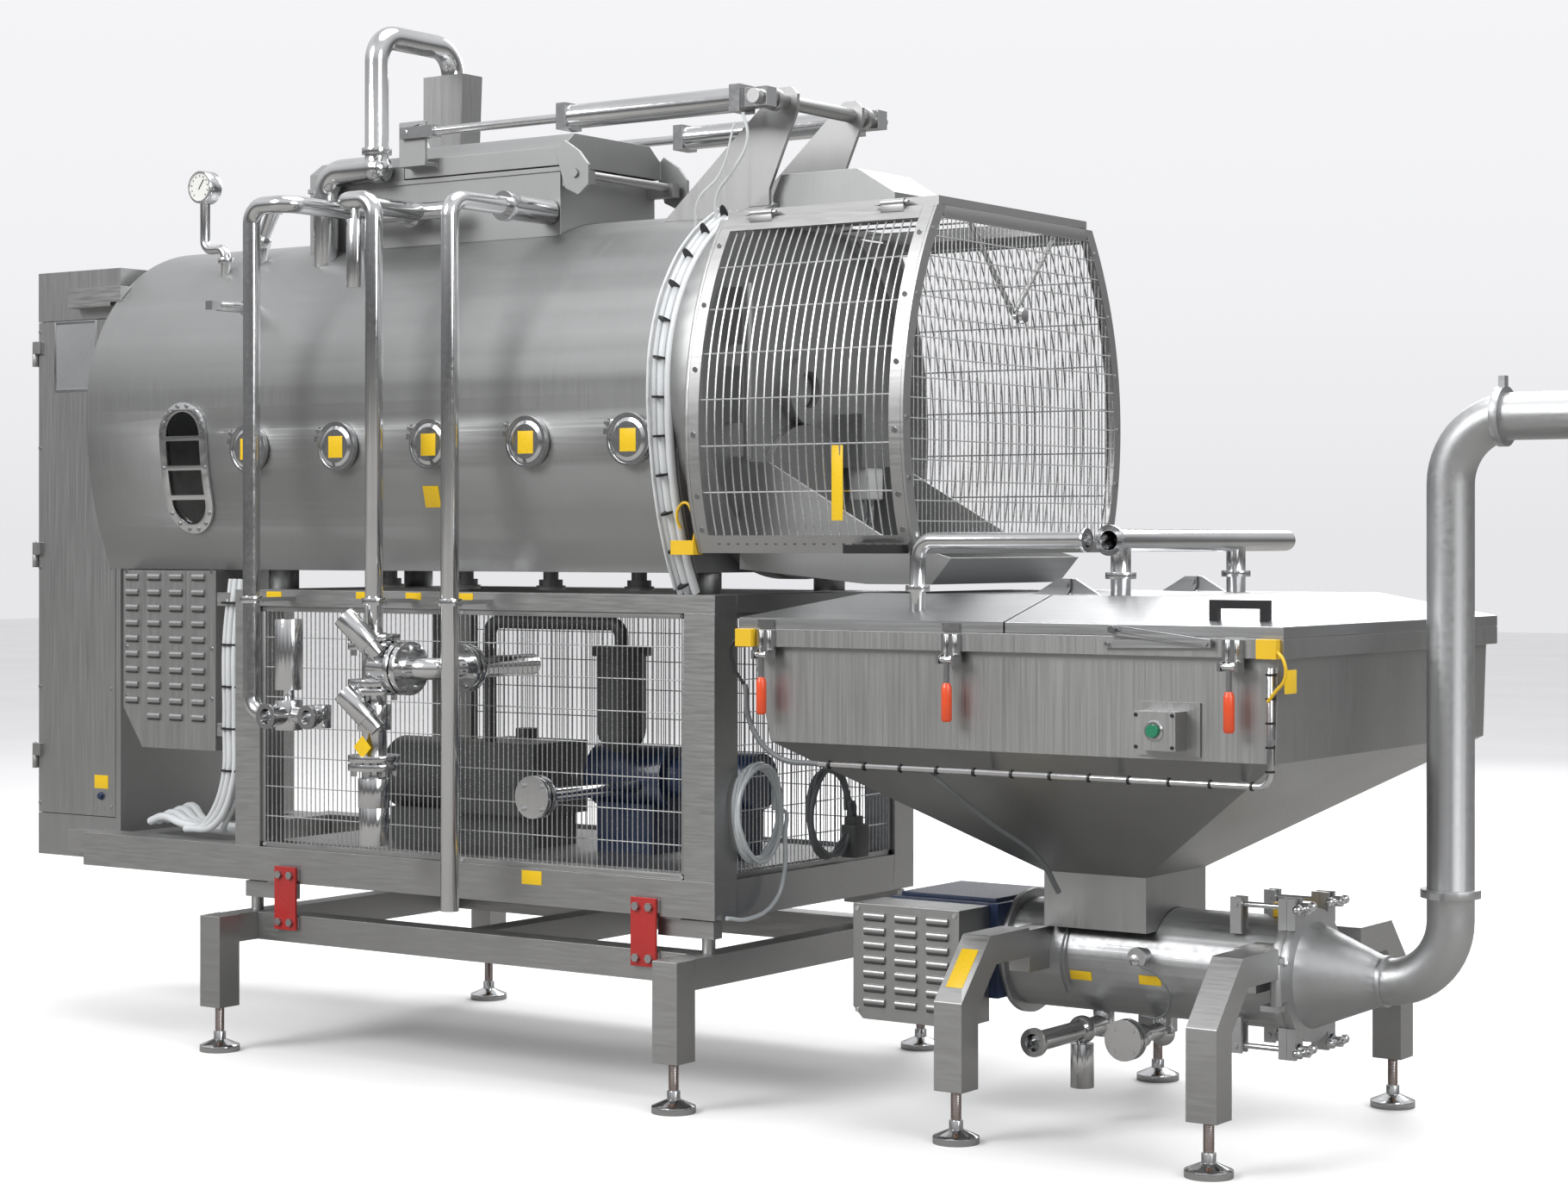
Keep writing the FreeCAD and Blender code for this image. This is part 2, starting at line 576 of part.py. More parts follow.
# ---- polished pipes down the working side ----
PY = "pipe_y"
node("steam_pipe_left", run("pipe_a + 104", PY, "990", "pipe_r", "50",
                            [("-X", "104"), ("+Z", "1452"), ("+X", "140"), ("+Y", "322")]))
node("steam_pipe_middle", run("pipe_b", PY, "1229", "pipe_r", "50",
                              [("+Z", "1206"), ("-X", "130"), ("+Y", "322")]))
tail = run("pipe_c", PY, "476", "pipe_r", "50", [("+Z", "1941"), ("+Y", "230")])
stub = fuse(cyl("pipe_c", "pipe_y + 230", "2417", "36", "424 - 230", "+Y"),
            cyl("pipe_c", "pipe_y + 222", "2417", "42", "20", "+Y"))
node("steam_pipe_right", cut(fuse(tail, stub), cyl("pipe_c", PY, "470", "pipe_r - 2", "126")))
node("manifold", fuse(cyl("pipe_a + 60", "-328 + 25", "2438", "pipe_r", "383", "+X"),
                      cyl("-1000", "-303", "2438", "30", "303 - neck_y", "+Y"),
                      cyl("-1000", "-262", "2438", "38", "16", "+Y")))
clips = []
for x in ("pipe_a", "pipe_b", "pipe_c"):
    clips.append(cut(fuse(cyl(x, PY, "1306", "34", "20"),
                          box("%s - 12" % x, "pipe_y + 26", "1310", "24", "-frame_y - pipe_y - 26",
                              "12")),
                     cyl(x, PY, "1290", "pipe_r + 0.2", "60")))
node("pipe_clips", *clips)

# valves at the foot of the pipes
stack = [cyl("pipe_b", PY, "745", "34", "484")]
for z in ("1207", "1183", "1082", "1058", "872", "848"):
    stack.append(cyl("pipe_b", PY, z, "72", "18"))
stack.append(cyl("pipe_b", PY, "745", "44", "80"))
stack.append(cyl("pipe_b", PY, "1133", "36", "140", "+X"))
stack.append(cyl("pipe_b + 96", PY, "1133", "74", "18", "+X"))
stack.append(cyl("pipe_b + 120", PY, "1133", "74", "18", "+X"))
stack.append(run("pipe_b + 130", PY, "1133", "30", "60", [("+X", "92"), ("+Y", "420")]))
stack.append(cyl("pipe_b + 222", "-545", "1133", "66", "18", "+Y"))
stack.append(cyl("pipe_b + 222", "-523", "1133", "66", "18", "+Y"))
stack.append(cyl("pipe_b", PY, "960", "46", "70"))
node("valve_stack", fuse(*stack))
slant = V(-0.62, -0.3, 0.72)
acts = [fuse(cyl("pipe_b + 70", "pipe_y - 40", "1160", "24", "70", slant),
             cyl("pipe_b + 38", "pipe_y - 55", "1197", "33", "110", slant)),
        fuse(cyl("pipe_b + 62", "pipe_y - 52", "965", "24", "60", slant),
             cyl("pipe_b + 36", "pipe_y - 65", "995", "31", "100", slant))]
solids = [cut(a, cyl("pipe_b", PY, "745", "72.4", "484"), cyl("pipe_b + 60", PY, "1133", "75", "100",
                                                              "+X"))
          for a in acts]
solids.append(cyl("pipe_b", PY, "640", "42", "105"))
solids.append(fuse(cyl("pipe_b - 70", PY, "2190", "25", "190"),
                   cyl("pipe_b - 70", PY, "2380", "12", "30.2")))
solids.append(fuse(cyl("pipe_a + 147", PY, "1062", "40", "200"),
                   cyl("pipe_a + 147", PY, "1032.3", "16", "30")))
node("valve_actuators", cut(solids[0], cyl("pipe_c", PY, "470", "pipe_r + 3", "1900")), solids[1],
     solids[2], cut(solids[3], run("pipe_b", PY, "1229", "pipe_r", "50",
                                   [("+Z", "1206"), ("-X", "130"), ("+Y", "322")])), solids[4])
valve = fuse(cyl("pipe_a + 147", PY, "948", "39", "84.3"),
             cyl("pipe_a + 104.3", PY, "990", "34", "60", "+X"),
             cyl("pipe_a + 147", PY, "990", "27", "90", "-Y"),
             cyl("pipe_a + 147", "pipe_y - 82", "990", "36", "12", "-Y"),
             cyl("pipe_a + 164", PY, "990", "25", "120", "+X"),
             cyl("pipe_a + 272", PY, "990", "25", "56", "-Y"),
             cyl("pipe_a + 272", "pipe_y - 48", "990", "34", "12", "-Y"),
             cyl("pipe_a + 272", PY, "958", "29", "64"))
node("ball_valve", cut(valve, cyl("pipe_a + 147", "pipe_y - 96", "990", "22", "50", "+Y"),
                       cyl("pipe_a + 272", "pipe_y - 62", "990", "20", "40", "+Y")))
node("drain_flange", fuse(cyl("-282", "-572", "791", "58", "16", "+Y"),
                          cyl("-282", "-550", "791", "58", "16", "+Y"),
                          cyl("-282", "-572", "791", "19", "459.5", "+Y")))

# ---- fittings on top of the vessel ----
vent = fuse(cyl("-1128", "-264", "2622", "44", "18"), ball("-1128", "-264", "2580", "42"),
            run("-1100", "-264", "2580", "38", "70", [("-X", "232"), ("-Z", "330")]),
            run("-1128", "-264", "2600", "35", "78", [("+Z", "375"), ("+Y", "338"), ("-Z", "82.5")]))
node("vent_pipe", cut(vent, vessel()))
node("vent_hood", cut(profile("XZ", [("-1206", "2892"), ("-1050", "2892"), ("-1062", "2623.4"),
                                     ("-1150", "2623.4"),
                                     ("-1206", "2730")], "30", "88"),
                      profile("XZ", [("-1202", "2888"), ("-1054", "2888"), ("-1066", "2600"),
                                     ("-1147", "2600"),
                                     ("-1202", "2731")], "34", "80")))
gauge = fuse(run("-1715", "-300", "2270", "15", "30", [("+Z", "105"), ("-X", "89"), ("+Z", "155")]),
             cyl("-1804", "-278", "2567", "50", "42", "-Y"), cyl("-1715", "-300", "2330", "24", "16"))
node("pressure_gauge", cut(gauge, cyl("vessel_left", "0", "axis_z", "vessel_r", "900", "+X")))
lean = V(0.5, 0, 0.86)
relief = fuse(cyl("-1620", "-250", "2290", "26", "110"), cyl("-1620", "-250", "2385", "20", "130", lean),
              cyl("-1660", "-250", "2395", "26", "50", "+X"), ball("-1620", "-250", "2395", "34"),
              cyl("-1562", "-250", "2485", "26", "30", lean))
node("relief_valve", cut(relief, vessel()))
node("level_sensor", cut(fuse(cyl("-1480", "-400", "2173", "22", "56", "-Y"),
                              cyl("-1480", "-400", "2173", "15", "165", "-Y"),
                              box("-1494", "-600", "2160", "28", "40", "26")), vessel()))

# ---- control cabinet ----
body = box("cab_left", "cab_near", "cab_low", "cab_right - cab_left", "cab_far - cab_near",
           "cab_top - cab_low")
node("control_cabinet", cut(body,
                            box("cab_left - 10", "cab_near - 10", "cab_low + 131",
                                "cab_right - cab_left - 12",
                                "32", "cab_top - cab_low - 286"),
                            box("cab_left + 20", "cab_near - 10", "cab_low + 155",
                                "cab_right - cab_left - 62",
                                "cab_far - cab_near - 15", "cab_top - cab_low - 334")))
DZ = "cab_low + 133"
door = [cut(box("cab_left + 2", "cab_near - 1", DZ, "cab_right - cab_left - 26", "22",
                "cab_top - cab_low - 290"),
            box("cab_left + 92", "cab_near - 5", "cab_top - 337", "180", "9", "140"))]
fixed = []
AX = "cab_left - 8"
AY = "cab_near - 8"
for z in ("cab_low + 273", "(cab_low + cab_top) / 2 - 12", "cab_top - 297"):
    door.append(cyl(AX, AY, "%s + 40.3" % z, "8", "39"))
    door.append(box(AX, "cab_near - 16", "%s + 40.3" % z, "30", "16", "39"))
    fixed.append(fuse(cyl(AX, AY, z, "8", "40"), cyl(AX, AY, z, "4.5", "82"),
                      box(AX, "cab_near - 8", z, "8", "80", "40")))
node("cabinet_door", cut(fuse(*door), cyl(AX, AY, "cab_low + 213", "4.5 + fit_gap",
                                             "cab_top - cab_low - 350")))
node("cabinet_hinges", *fixed)
node("cabinet_brackets", cut(box("cab_right - 190", "cab_near - 46", "2215", "240", "46", "60"),
                             cyl("vessel_left - 30", "0", "axis_z", "vessel_r + 0.3", "200", "+X")),
     box("cab_right - 190", "cab_near - 46", "cab_low + 20", "298", "46", "70"),
     box("cab_right", "-frame_y", "cab_low", "frame_left - cab_right", "rail", "rail"),
     box("cab_right", "frame_y - rail - 56", "cab_low", "frame_left - cab_right", "rail", "rail"))
cover = profile("XZ", [("-2014", "975"), ("-1931", "855"), ("-1616", "855"), ("-1616", "1394"),
                       ("-2014", "1394")],
                "-frame_y + 46", "170")
inner = profile("XZ", [("-2010", "977"), ("-1929", "859"), ("-1620", "859"), ("-1620", "1390"),
                       ("-2010", "1390")],
                "-frame_y + 50", "200")
node("drive_cover", cut(cover, inner))
node("drive_motor", cyl("-1960", "-345", "1130", "82", "300", "+X"),
     cyl("-1660", "-345", "1130", "60", "20", "+X"),
     box("-1640", "-420", "1040", "10", "150", "180"), box("-1630", "-400", "1100", "9.7", "60", "60"))
node("cover_brackets", box("-1616", "-436", "900", "129", "30", "40"),
     box("-1616", "-436", "1290", "129", "30", "40"))

# ---- machinery inside the frame ----
node("machinery_tray", box("post_left + rail - 20", "rail - frame_y + 0.3", "frame_low + rail",
                           "frame_right - post_left - 2 * rail + 40",
                           "2 * frame_y - 2 * rail - 0.6", "10"))
TOP = "frame_low + rail + 10"
node("vacuum_pump", fuse(box("-900", "-180", "690", "300", "250", "210"),
                         box("-1180", "-150", TOP, "560", "190", "95"),
                         cyl("-1200", "-60", "790", "108", "310", "+X"),
                         cyl("-790", "20", "890", "34", "40")))
node("blue_motor", fuse(cyl("-470", "-20", "813", "92", "270", "+X"),
                        cyl("-200", "-20", "813", "60", "60", "+X"),
                        cyl("-140", "-20", "813", "80", "230", "+X"),
                        box("-440", "-90", TOP, "200", "140", "140"),
                        box("-110", "-80", TOP, "160", "120", "150")))
node("filter_housing", fuse(cyl("-303", "-150", "954", "70", "225"),
                            cyl("-303", "-150", "1160", "84", "26"),
                            ball("-303", "-150", "954", "69"),
                            run("-790", "-150", "900.3", "20", "40",
                                [("+Z", "349.7"), ("+X", "487"), ("-Z", "80")])))

# ---- hoses tied round the shell ----
def arc_hose(x, y, z, r, sweep, start):
    # part of a ring in an upright plane; start is the angle below the level
    arc = new("Part::Torus")
    bind(arc, "Radius1", r)
    bind(arc, "Radius2", "hose_r")
    bind(arc, "Angle3", sweep)
    a = math.radians(start)
    return at(arc, x, y, z, FreeCAD.Rotation(V(0, -math.cos(a), -math.sin(a)),
                                             V(0, -math.sin(a), math.cos(a)),
                                             V(-1, 0, 0), "XYZ"))


hoses = []
for x in ("90", "114", "138"):
    hoses.append(fuse(arc_hose(x, "0", "axis_z", "vessel_r + 13.5", "67", 0),
                      cyl(x, "-(vessel_r + 13.5)", "skirt_z", "hose_r", "axis_z - skirt_z"),
                      arc_hose(x, "skirt_r - vessel_r", "skirt_z", "skirt_r + 13.5", "26.9", 26.9)))
node("hose_bundle", *hoses)

# ---- guard round the discharge end ----
GA = "guard_axis_y"
GZ = "guard_axis_z"


def lens(extra, x, length):
    return common(cyl(x, GA, GZ, "guard_r + %s" % extra, length, "+X"),
                  cyl(x, "-" + GA, GZ, "guard_r + %s" % extra, length, "+X"))


def arc_panel(s, x0, x1):
    y = "%s * %s" % (s, GA)
    band = box(x0, "-750" if s == "1" else "300", "guard_low", "%s - (%s)" % (x1, x0), "450",
               "guard_high - guard_low")
    sheet_part = cut(common(tube(x0, y, GZ, "guard_r", "guard_r - sheet_t", "%s - (%s)" % (x1, x0), "+X"),
                            band),
                     *[box("%s + strip + %d * (%s - (%s) - 2 * strip + 16) / 4" % (x0, i, x1, x0),
                           "-760" if s == "1" else "290", "guard_low + strip",
                           "(%s - (%s) - 2 * strip + 16) / 4 - 16" % (x1, x0), "470",
                           "guard_high - guard_low - 2 * strip") for i in range(4)])
    band2 = box(x0, "-750" if s == "1" else "300", "guard_low", "%s - (%s)" % (x1, x0), "450",
                "guard_high - guard_low")
    edge = cut(common(tube(x0, y, GZ, "guard_r", "guard_r - 14", "%s - (%s)" % (x1, x0), "+X"), band2),
               box("%s + strip" % x0, "-760" if s == "1" else "290", "guard_low + strip",
                   "%s - (%s) - 2 * strip" % (x1, x0), "470", "guard_high - guard_low - 2 * strip"))
    return fuse(sheet_part, edge)


GX0 = "guard_left + 1"
GX1 = "guard_right - 1"
near_panel = arc_panel("1", GX0, GX1)
node("guard_panel", fuse(near_panel,
                         *[cut(fuse(cyl("guard_left + %d" % x, "-402", "guard_high + 11", "10", "70",
                                        "+X"),
                                    box("guard_left + %d" % x, "-412", "guard_high - 14", "70", "12",
                                        "26")),
                               cyl("guard_left", "-402", "guard_high + 11", "5 + fit_gap", "700", "+X"))
                           for x in (90, 500)]))
far_panel = arc_panel("-1", GX0, GX1)
node("guard_far", far_panel)
end = cut(common(lens("0", "guard_right", "8"),
                 box("guard_right", "-600", "guard_low", "8", "1200", "guard_high - guard_low")),
          *[common(lens("-38", "guard_right - 1", "10"),
                   box("guard_right - 1", "-430 + %d * 175" % i, "guard_low + strip", "10", "160",
                       "guard_high - guard_low - 2 * strip")) for i in range(5)])
node("guard_end", end)
cheeks = cut(common(lens("0", "flange_end + 0.3", "guard_left - flange_end - 0.3"),
                    box("flange_end", "-600", "guard_low", "30", "1200", "guard_high - guard_low")),
             cyl("flange_end - 5", "0", "axis_z", "495", "30", "+X"))
bar = [box("guard_left", "-381", "guard_high - 6", "guard_right - guard_left", "10", "30"),
       box("guard_left", "372", "guard_high - 6", "guard_right - guard_left", "10.4", "30"),
       box("guard_left", "-371", "guard_high + 4", "30", "743", "20"),
       box("guard_right - 30", "-371", "guard_high + 4", "30", "743", "20")]
roof = [box("guard_left + 30.3", "-374 + %d" % y, "guard_high + 10", "guard_right - guard_left - 60.6",
            "10", "4")
        for y in range(120, 700, 125)]
pins = [fuse(cyl("guard_left + %d" % x, "-402", "guard_high + 11", "5", "100", "+X"),
             box("guard_left + %d" % x, "-408", "guard_high + 7", "18", "27", "14"))
        for x in (71, 481)]
node("guard_frame", cheeks, *(bar + roof + pins))
node("guard_handle", cut(box("721", "-560", "1452", "160", "62", "22"),
                         cyl("700", GA, GZ, "guard_r + 0.3", "200", "+X"),
                         box("741", "-545", "1440", "120", "24", "40")))

# ================= hopper pump beside the cooker =================
UY = "unit_y"
for x in ("foot_x_in", "foot_x_out"):
    for s in ("-1", "1"):
        nodes.append(foot(x, "unit_y + %s * unit_foot_y" % s))
unit_feet = nodes[-4:]
del nodes[-4:]


def housing(extra="0"):
    return cyl("housing_left - 10", UY, "pump_z", "housing_r + 0.8 + %s" % extra,
               "housing_right - housing_left + 40", "+X")


legs = []
for x, gx in (("foot_x_in", "foot_x_in - 20"), ("foot_x_out", "foot_x_out - 79")):
    for s in ("-1", "1"):
        o = "unit_y + %s * (unit_foot_y + tube / 2)" % s
        legs.append(profile("YZ", [(o, "leg_low"), (o, "350"), (o + " - %s * 138" % s, "502"),
                                   ("unit_y + %s * 240" % s, "502"), ("unit_y + %s * 240" % s, "428"),
                                   (o + " - %s * 168" % s, "428"), (o + " - %s * tube" % s, "330"),
                                   (o + " - %s * tube" % s, "leg_low")], x + " - tube / 2", "tube"))
        gusset = box(gx, "unit_y - 240" if s == "-1" else "unit_y + 60", "388", "59", "180", "108")
        legs.append(cut(gusset, housing()))
node("pump_legs", *legs)

EX = "housing_right"
neck_hole = box("neck_in + 6", "unit_y - 110", "pump_z", "neck_out - neck_in - 12", "220", "300")
ears = []
for dy in ("-95", "95"):
    for s in ("-1", "1"):
        ears.append((dy, s))


def ear_set(x, thick):
    made = []
    for dy, s in ears:
        z = "pump_z + %s * 158.5 - 38.5" % s
        made.append(box(x, "unit_y + %s - 22" % dy, z, thick, "44", "77"))
    return made


def ear_slots():
    made = []
    for dy, s in ears:
        z = "pump_z + %s * 182 - 24" % s
        made.append(box("housing_right - 10", "unit_y + %s - 9" % dy, z, "80", "18", "48"))
    return made


bolt_lugs = []
for dy, s in ears:
    for d in ("-20", "10"):
        bolt_lugs.append(box("housing_right - 132", "unit_y + %s + %s" % (dy, d),
                             "pump_z + %s * 148 - 45" % s,
                             "30", "10", "90"))
shell = fuse(cyl("housing_left", UY, "pump_z", "housing_r", "housing_right - housing_left", "+X"),
             cyl("housing_left - 0.5", UY, "pump_z", "housing_r + 22", "16", "+X"),
             cyl("housing_right - 1", UY, "pump_z", "165", "22.7", "+X"),
             cyl("1341", "unit_y - 172", "pump_z + 30", "20", "60", "+Y"),
             cyl("1341", "unit_y - 180", "pump_z + 30", "26", "16", "+Y"),
             *(ear_set("housing_right - 1", "22.7") + bolt_lugs))
lug_pin = [cyl("housing_right - 117", "unit_y + %s - 24" % dy, "pump_z + %s * 175" % s, "6", "48", "+Y")
           for dy, s in ears]
hinge_lug = [box("housing_right", "(unit_y - housing_r - swing_out) - 14", z,
                 "swing_x - housing_right + 14", "60", "14")
             for z in ("pump_z - 66", "pump_z + 50")]
hinge_pin = cyl("swing_x", "(unit_y - housing_r - swing_out)", "pump_z - 72", "7", "142")
room = fuse(cyl("housing_left + 14", UY, "pump_z", "housing_r - housing_wall",
                "housing_right + 40 - housing_left", "+X"),
            neck_hole, cyl("housing_left - 10", UY, "pump_z", "30 + fit_gap", "60", "+X"))
lug_room = box("housing_right + 21.7", "(unit_y - housing_r - swing_out) + 20", "pump_z - 90", "40", "80",
               "200")
node("pump_housing", fuse(cut(fuse(shell, *hinge_lug), room, lug_room, *ear_slots()), hinge_pin,
                          *lug_pin))
discs = []
for i in range(5):
    tilt = FreeCAD.Rotation(V(0, 1, 0), 72).multVec(V(0, 0, 1))
    discs.append(cyl("housing_left + 110 + %d * 140" % i, UY, "pump_z", "118", "10", tilt))
node("pump_auger", fuse(cyl("housing_left + 0.5", UY, "pump_z", "30", "housing_right - housing_left - 10",
                            "+X"), *discs))
node("pump_gearbox", box("600", "-149.7", "300", "housing_left - 600.8", "370", "245"),
     box("616", "-120", "545", "290", "300", "10"))
cover = profile("XZ", [("580", "270"), ("610", "240"), ("904", "240"), ("904", "540"), ("580", "540")],
                "-300", "150")
inner = profile("XZ", [("584", "272"), ("612", "244"), ("900", "244"), ("900", "536"), ("584", "536")],
                "-296", "160")
node("pump_drive_cover", cut(cover, inner))

# ---- hopper ----


def wedge(x0, x1, y0, y1, z0, u0, u1, v0, v1, z1):
    o = new("Part::Wedge")
    for prop, text in (("Xmin", x0), ("Xmax", x1), ("Ymin", z0), ("Ymax", z1), ("Zmin", "-(%s)" % y1),
                       ("Zmax", "-(%s)" % y0), ("X2min", u0), ("X2max", u1), ("Z2min", "-(%s)" % v1),
                       ("Z2max", "-(%s)" % v0)):
        bind(o, prop, text)
    o.Placement = FreeCAD.Placement(V(0, 0, 0), FreeCAD.Rotation(V(1, 0, 0), V(0, 0, 1), V(0, -1, 0),
                                                                 "XYZ"))
    return o


HN = "unit_y + 1 - hop_half"
HF = "unit_y + 1 + hop_half"


def bin_shape(d, low, high):
    # the hopper's outline, drawn in by d
    a = (["neck_in + %s" % d, "neck_out - %s" % d, "unit_y - neck_half + %s" % d,
          "unit_y + neck_half - %s" % d])
    b = (["hop_left + 83 + %s" % d, "hop_right - 30 - %s" % d, HN + " + 20 + %s" % d,
          HF + " - 20 - %s" % d])
    c = (["hop_left + 26 + %s" % d, "hop_right - 22 - %s" % d] + b[2:])
    return fuse(wedge(*(a + ["neck_low"] + b + ["wall_low"])), wedge(*(b + ["wall_low"] + c + [high])),
                box(a[0], a[2], low, "neck_out - neck_in - 2 * (%s)" % d, "2 * neck_half - 2 * (%s)" % d,
                    "neck_low - %s" % low))


rim = cut(box("hop_left", HN, "rim_low + 12", "hop_right - hop_left", "2 * hop_half",
              "rim_top - rim_low - 12"),
          box("hop_left + 50", HN + " + 44", "rim_low", "hop_right - hop_left - 96", "2 * hop_half - 88",
              "100"))
bulk = bin_shape("0", "500", "rim_low + 14")
node("hopper_body", cut(fuse(bulk, rim), bin_shape("4", "400", "rim_low + 60"), housing("0.0")))


def lid_block(d):
    low = "rim_top + 0.3" if d == "0" else "rim_top - 5"
    return fuse(box("hop_left + %s" % d, HN + " + %s" % d, low, "hop_right - hop_left - 2 * %s" % d,
                    "2 * hop_half - 2 * %s" % d, "lid_z - (%s) - %s * 0.1" % (low, d)),
                wedge("hop_left + %s" % d, "hop_right - %s" % d, HN + " + %s" % d, HF + " - %s" % d,
                      "lid_z - %s * 0.1" % d,
                      "hop_left + lid_in", "hop_right - lid_in", HN + " + lid_in", HF + " - lid_in",
                      "lid_peak - %s" % d))


def half(x0, x1):
    part = common(lid_block("0"), box(x0, HN + " - 10", "rim_top", "%s - (%s)" % (x1, x0),
                                      "2 * hop_half + 20", "200"))
    gap = common(lid_block("4"), box(x0 + " + 4", HN + " - 10", "rim_top - 10",
                                     "%s - (%s) - 8" % (x1, x0),
                                     "2 * hop_half + 20", "200"))
    return cut(part, gap)


FX = "flap_hinge_x"
FZ = "flap_hinge_z"
fixed_ears = [profile("XZ", [(FX + " - 92", "lid_peak - 0.5"), (FX + " - 22", FZ + " + 14"),
                             (FX + " + 12", FZ + " + 14"),
                             (FX + " + 12", FZ + " - 12"), (FX + " + 4", "lid_peak - 0.5")], y,
                             "8") for y in ("-312", "373")]
moving_ears = [profile("XZ", [(FX + " + 92", "lid_peak - 0.5"), (FX + " + 22", FZ + " + 14"),
                              (FX + " - 12", FZ + " + 14"),
                              (FX + " - 12", FZ + " - 10"), (FX + " + 13", "lid_peak - 0.5")], y,
                              "8") for y in ("-303.4", "381.6")]
pins = [cyl(FX, y, FZ, "8", "30", "+Y") for y in ("-318", "367")]
node("hopper_lid", fuse(half("hop_left", "split_x - 2"), *(fixed_ears + pins)))
flap = fuse(half("split_x + 2", "hop_right"), *moving_ears)
node("hopper_flap", cut(flap, cyl(FX, "-330", FZ, "8 + fit_gap", "800", "+Y")))
PQX = "1534"
grip = cut(box("1757", HN + " + 36", "1290", "148", "22", "58"),
           box("1777", HN + " + 30", "1280", "108", "34", "48"),
           lid_block("0"))
node("lid_handle", grip)
head = fuse(cyl("1370", "-362", "1485", "28", "992", "+Y"), ball("1370", "630", "1485", "28"),
            cyl("1370", "-362", "1485", "38", "12", "+Y"),
            *[s for y in ("-300", "332") for s in (cyl("1370", y, "lid_peak", "25", "135"),
                                                   cyl("1370", y, "lid_peak + 40", "38", "16"))])
node("header_pipe", cut(head, cyl("1370", "-372", "1485", "24", "140", "+Y")),
     fuse(cyl(PQX, HN, "1277", "4", "24", "-Y"), cyl(PQX, HN + " - 22", "1277", "9", "4", "-Y")))

# folding stay at the near edge
PX = "1518"
PZ = "1243"
JX = "1775"
JZ = "1248"
lower = fuse(profile("XZ", [(PX + " - 12", PZ + " - 10"), (JX + " + 12", JZ + " - 10"),
                            (JX + " + 12", JZ + " + 10"),
                            (PX + " - 12", PZ + " + 10")], HN + " - 11", "5"),
             cyl(JX, HN + " - 6", JZ, "5", "16", "-Y"))
node("stay_lower", cut(lower, cyl(PX, HN + " - 30", PZ, "5 + fit_gap", "60", "+Y")))
upper = profile("XZ", [(PQX + " - 14", "1277 - 12"), (JX + " + 12", JZ + " - 10"),
                       (JX + " + 12", JZ + " + 10"),
                       (PQX + " - 14", "1277 + 12")], HN + " - 17", "5")
node("stay_upper", cut(upper, cyl(JX, HN + " - 30", JZ, "5 + fit_gap", "60", "+Y"),
                       cyl(PQX, HN + " - 30", "1277", "7", "60", "+Y"),
                       cyl(PQX + " + 17", HN + " - 30", "1277", "7", "60", "+Y"),
                       box(PQX, HN + " - 30", "1277 - 7", "17", "60", "14")))

# toggle latches on the near rim
for i, x in enumerate(("535", "1084", "1838"), start=1):
    arm = fuse(cyl("%s - 16" % x, HN + " - 24", "1196", "8", "32", "+X"),
               box("%s - 5" % x, HN + " - 31", "1140", "10", "12", "56"))
    node("latch_%d" % i, cut(arm, cyl("%s - 30" % x, HN + " - 24", "1196", "4 + fit_gap", "60", "+X")))
    node("latch_grip_%d" % i, fuse(cyl(x, HN + " - 25", "1052", "13", "76"),
                                   cone(x, HN + " - 25", "1128", "13", "9", "12"),
                                   cone(x, HN + " - 25", "1052", "13", "9", "6", "-Z")))
bases = []
for x in ("535", "1084", "1838"):
    bases.append(fuse(box("%s - 26" % x, HN + " - 8", "1186", "52", "8", "72"),
                      box("%s - 26" % x, HN + " - 34", "1186", "8", "30", "22"),
                      box("%s + 18" % x, HN + " - 34", "1186", "8", "30", "22"),
                      cyl("%s - 24" % x, HN + " - 24", "1196", "4", "48", "+X"),
                      cyl("%s - 12" % x, HN + " - 12", "1200", "4", "58"),
                      cyl("%s + 12" % x, HN + " - 12", "1200", "4", "58")))
    if x != "1838":
        bases.append(box("%s - 24" % x, HN + " - 7", "lid_z - 24", "48", "7", "20"))
jumper = cut(fuse(run("925", "-530", "1300", "20", "45", [("+Z", "185"), ("+X", "480")]),
                  cyl("925", "-530", "1358", "30", "16"), cyl("1395", "-530", "1485", "29", "10", "+X")),
                  lid_block("0"),
             cyl("1340", "-530", "1485", "17", "80", "+X"))
rail_run = fuse(run("1925", HN + " + 8", "1195", "8", "30", [("-Z", "270"), ("-X", "1235")]),
                *[box(x, HN + " + 8", "919", "14", "100", "12") for x in ("760", "1150", "1500", "1820")],
                *[box("1917", HN + " + 4", z, "16", "18", "12") for z in ("1020", "1140")])
node("unit_fittings", jumper, cut(rail_run, bulk), cyl(PX, HN, PZ, "5", "20", "-Y"), *bases)

# swing bolts across the outlet joint
for i, (dy, s) in enumerate(ears, start=1):
    y = "unit_y + %s" % dy
    z = "pump_z + %s * 175" % s
    bolt = fuse(cyl("housing_right - 117", "%s - 9" % y, z, "13", "18", "+Y"),
                cyl("housing_right - 117", y, z, "7", "196", "+X"),
                cyl("housing_right + 47", y, z, "14", "26", "+X"),
                cyl("housing_right + 60", "%s - 42" % y, z, "7", "84", "+Y"),
                ball("housing_right + 60", "%s - 44" % y, z, "12"),
                ball("housing_right + 60", "%s + 44" % y, z, "12"))
    node("swing_bolt_%d" % i, cut(bolt, cyl("housing_right - 117", "%s - 60" % y, z, "6 + fit_gap", "120",
                                            "+Y")))

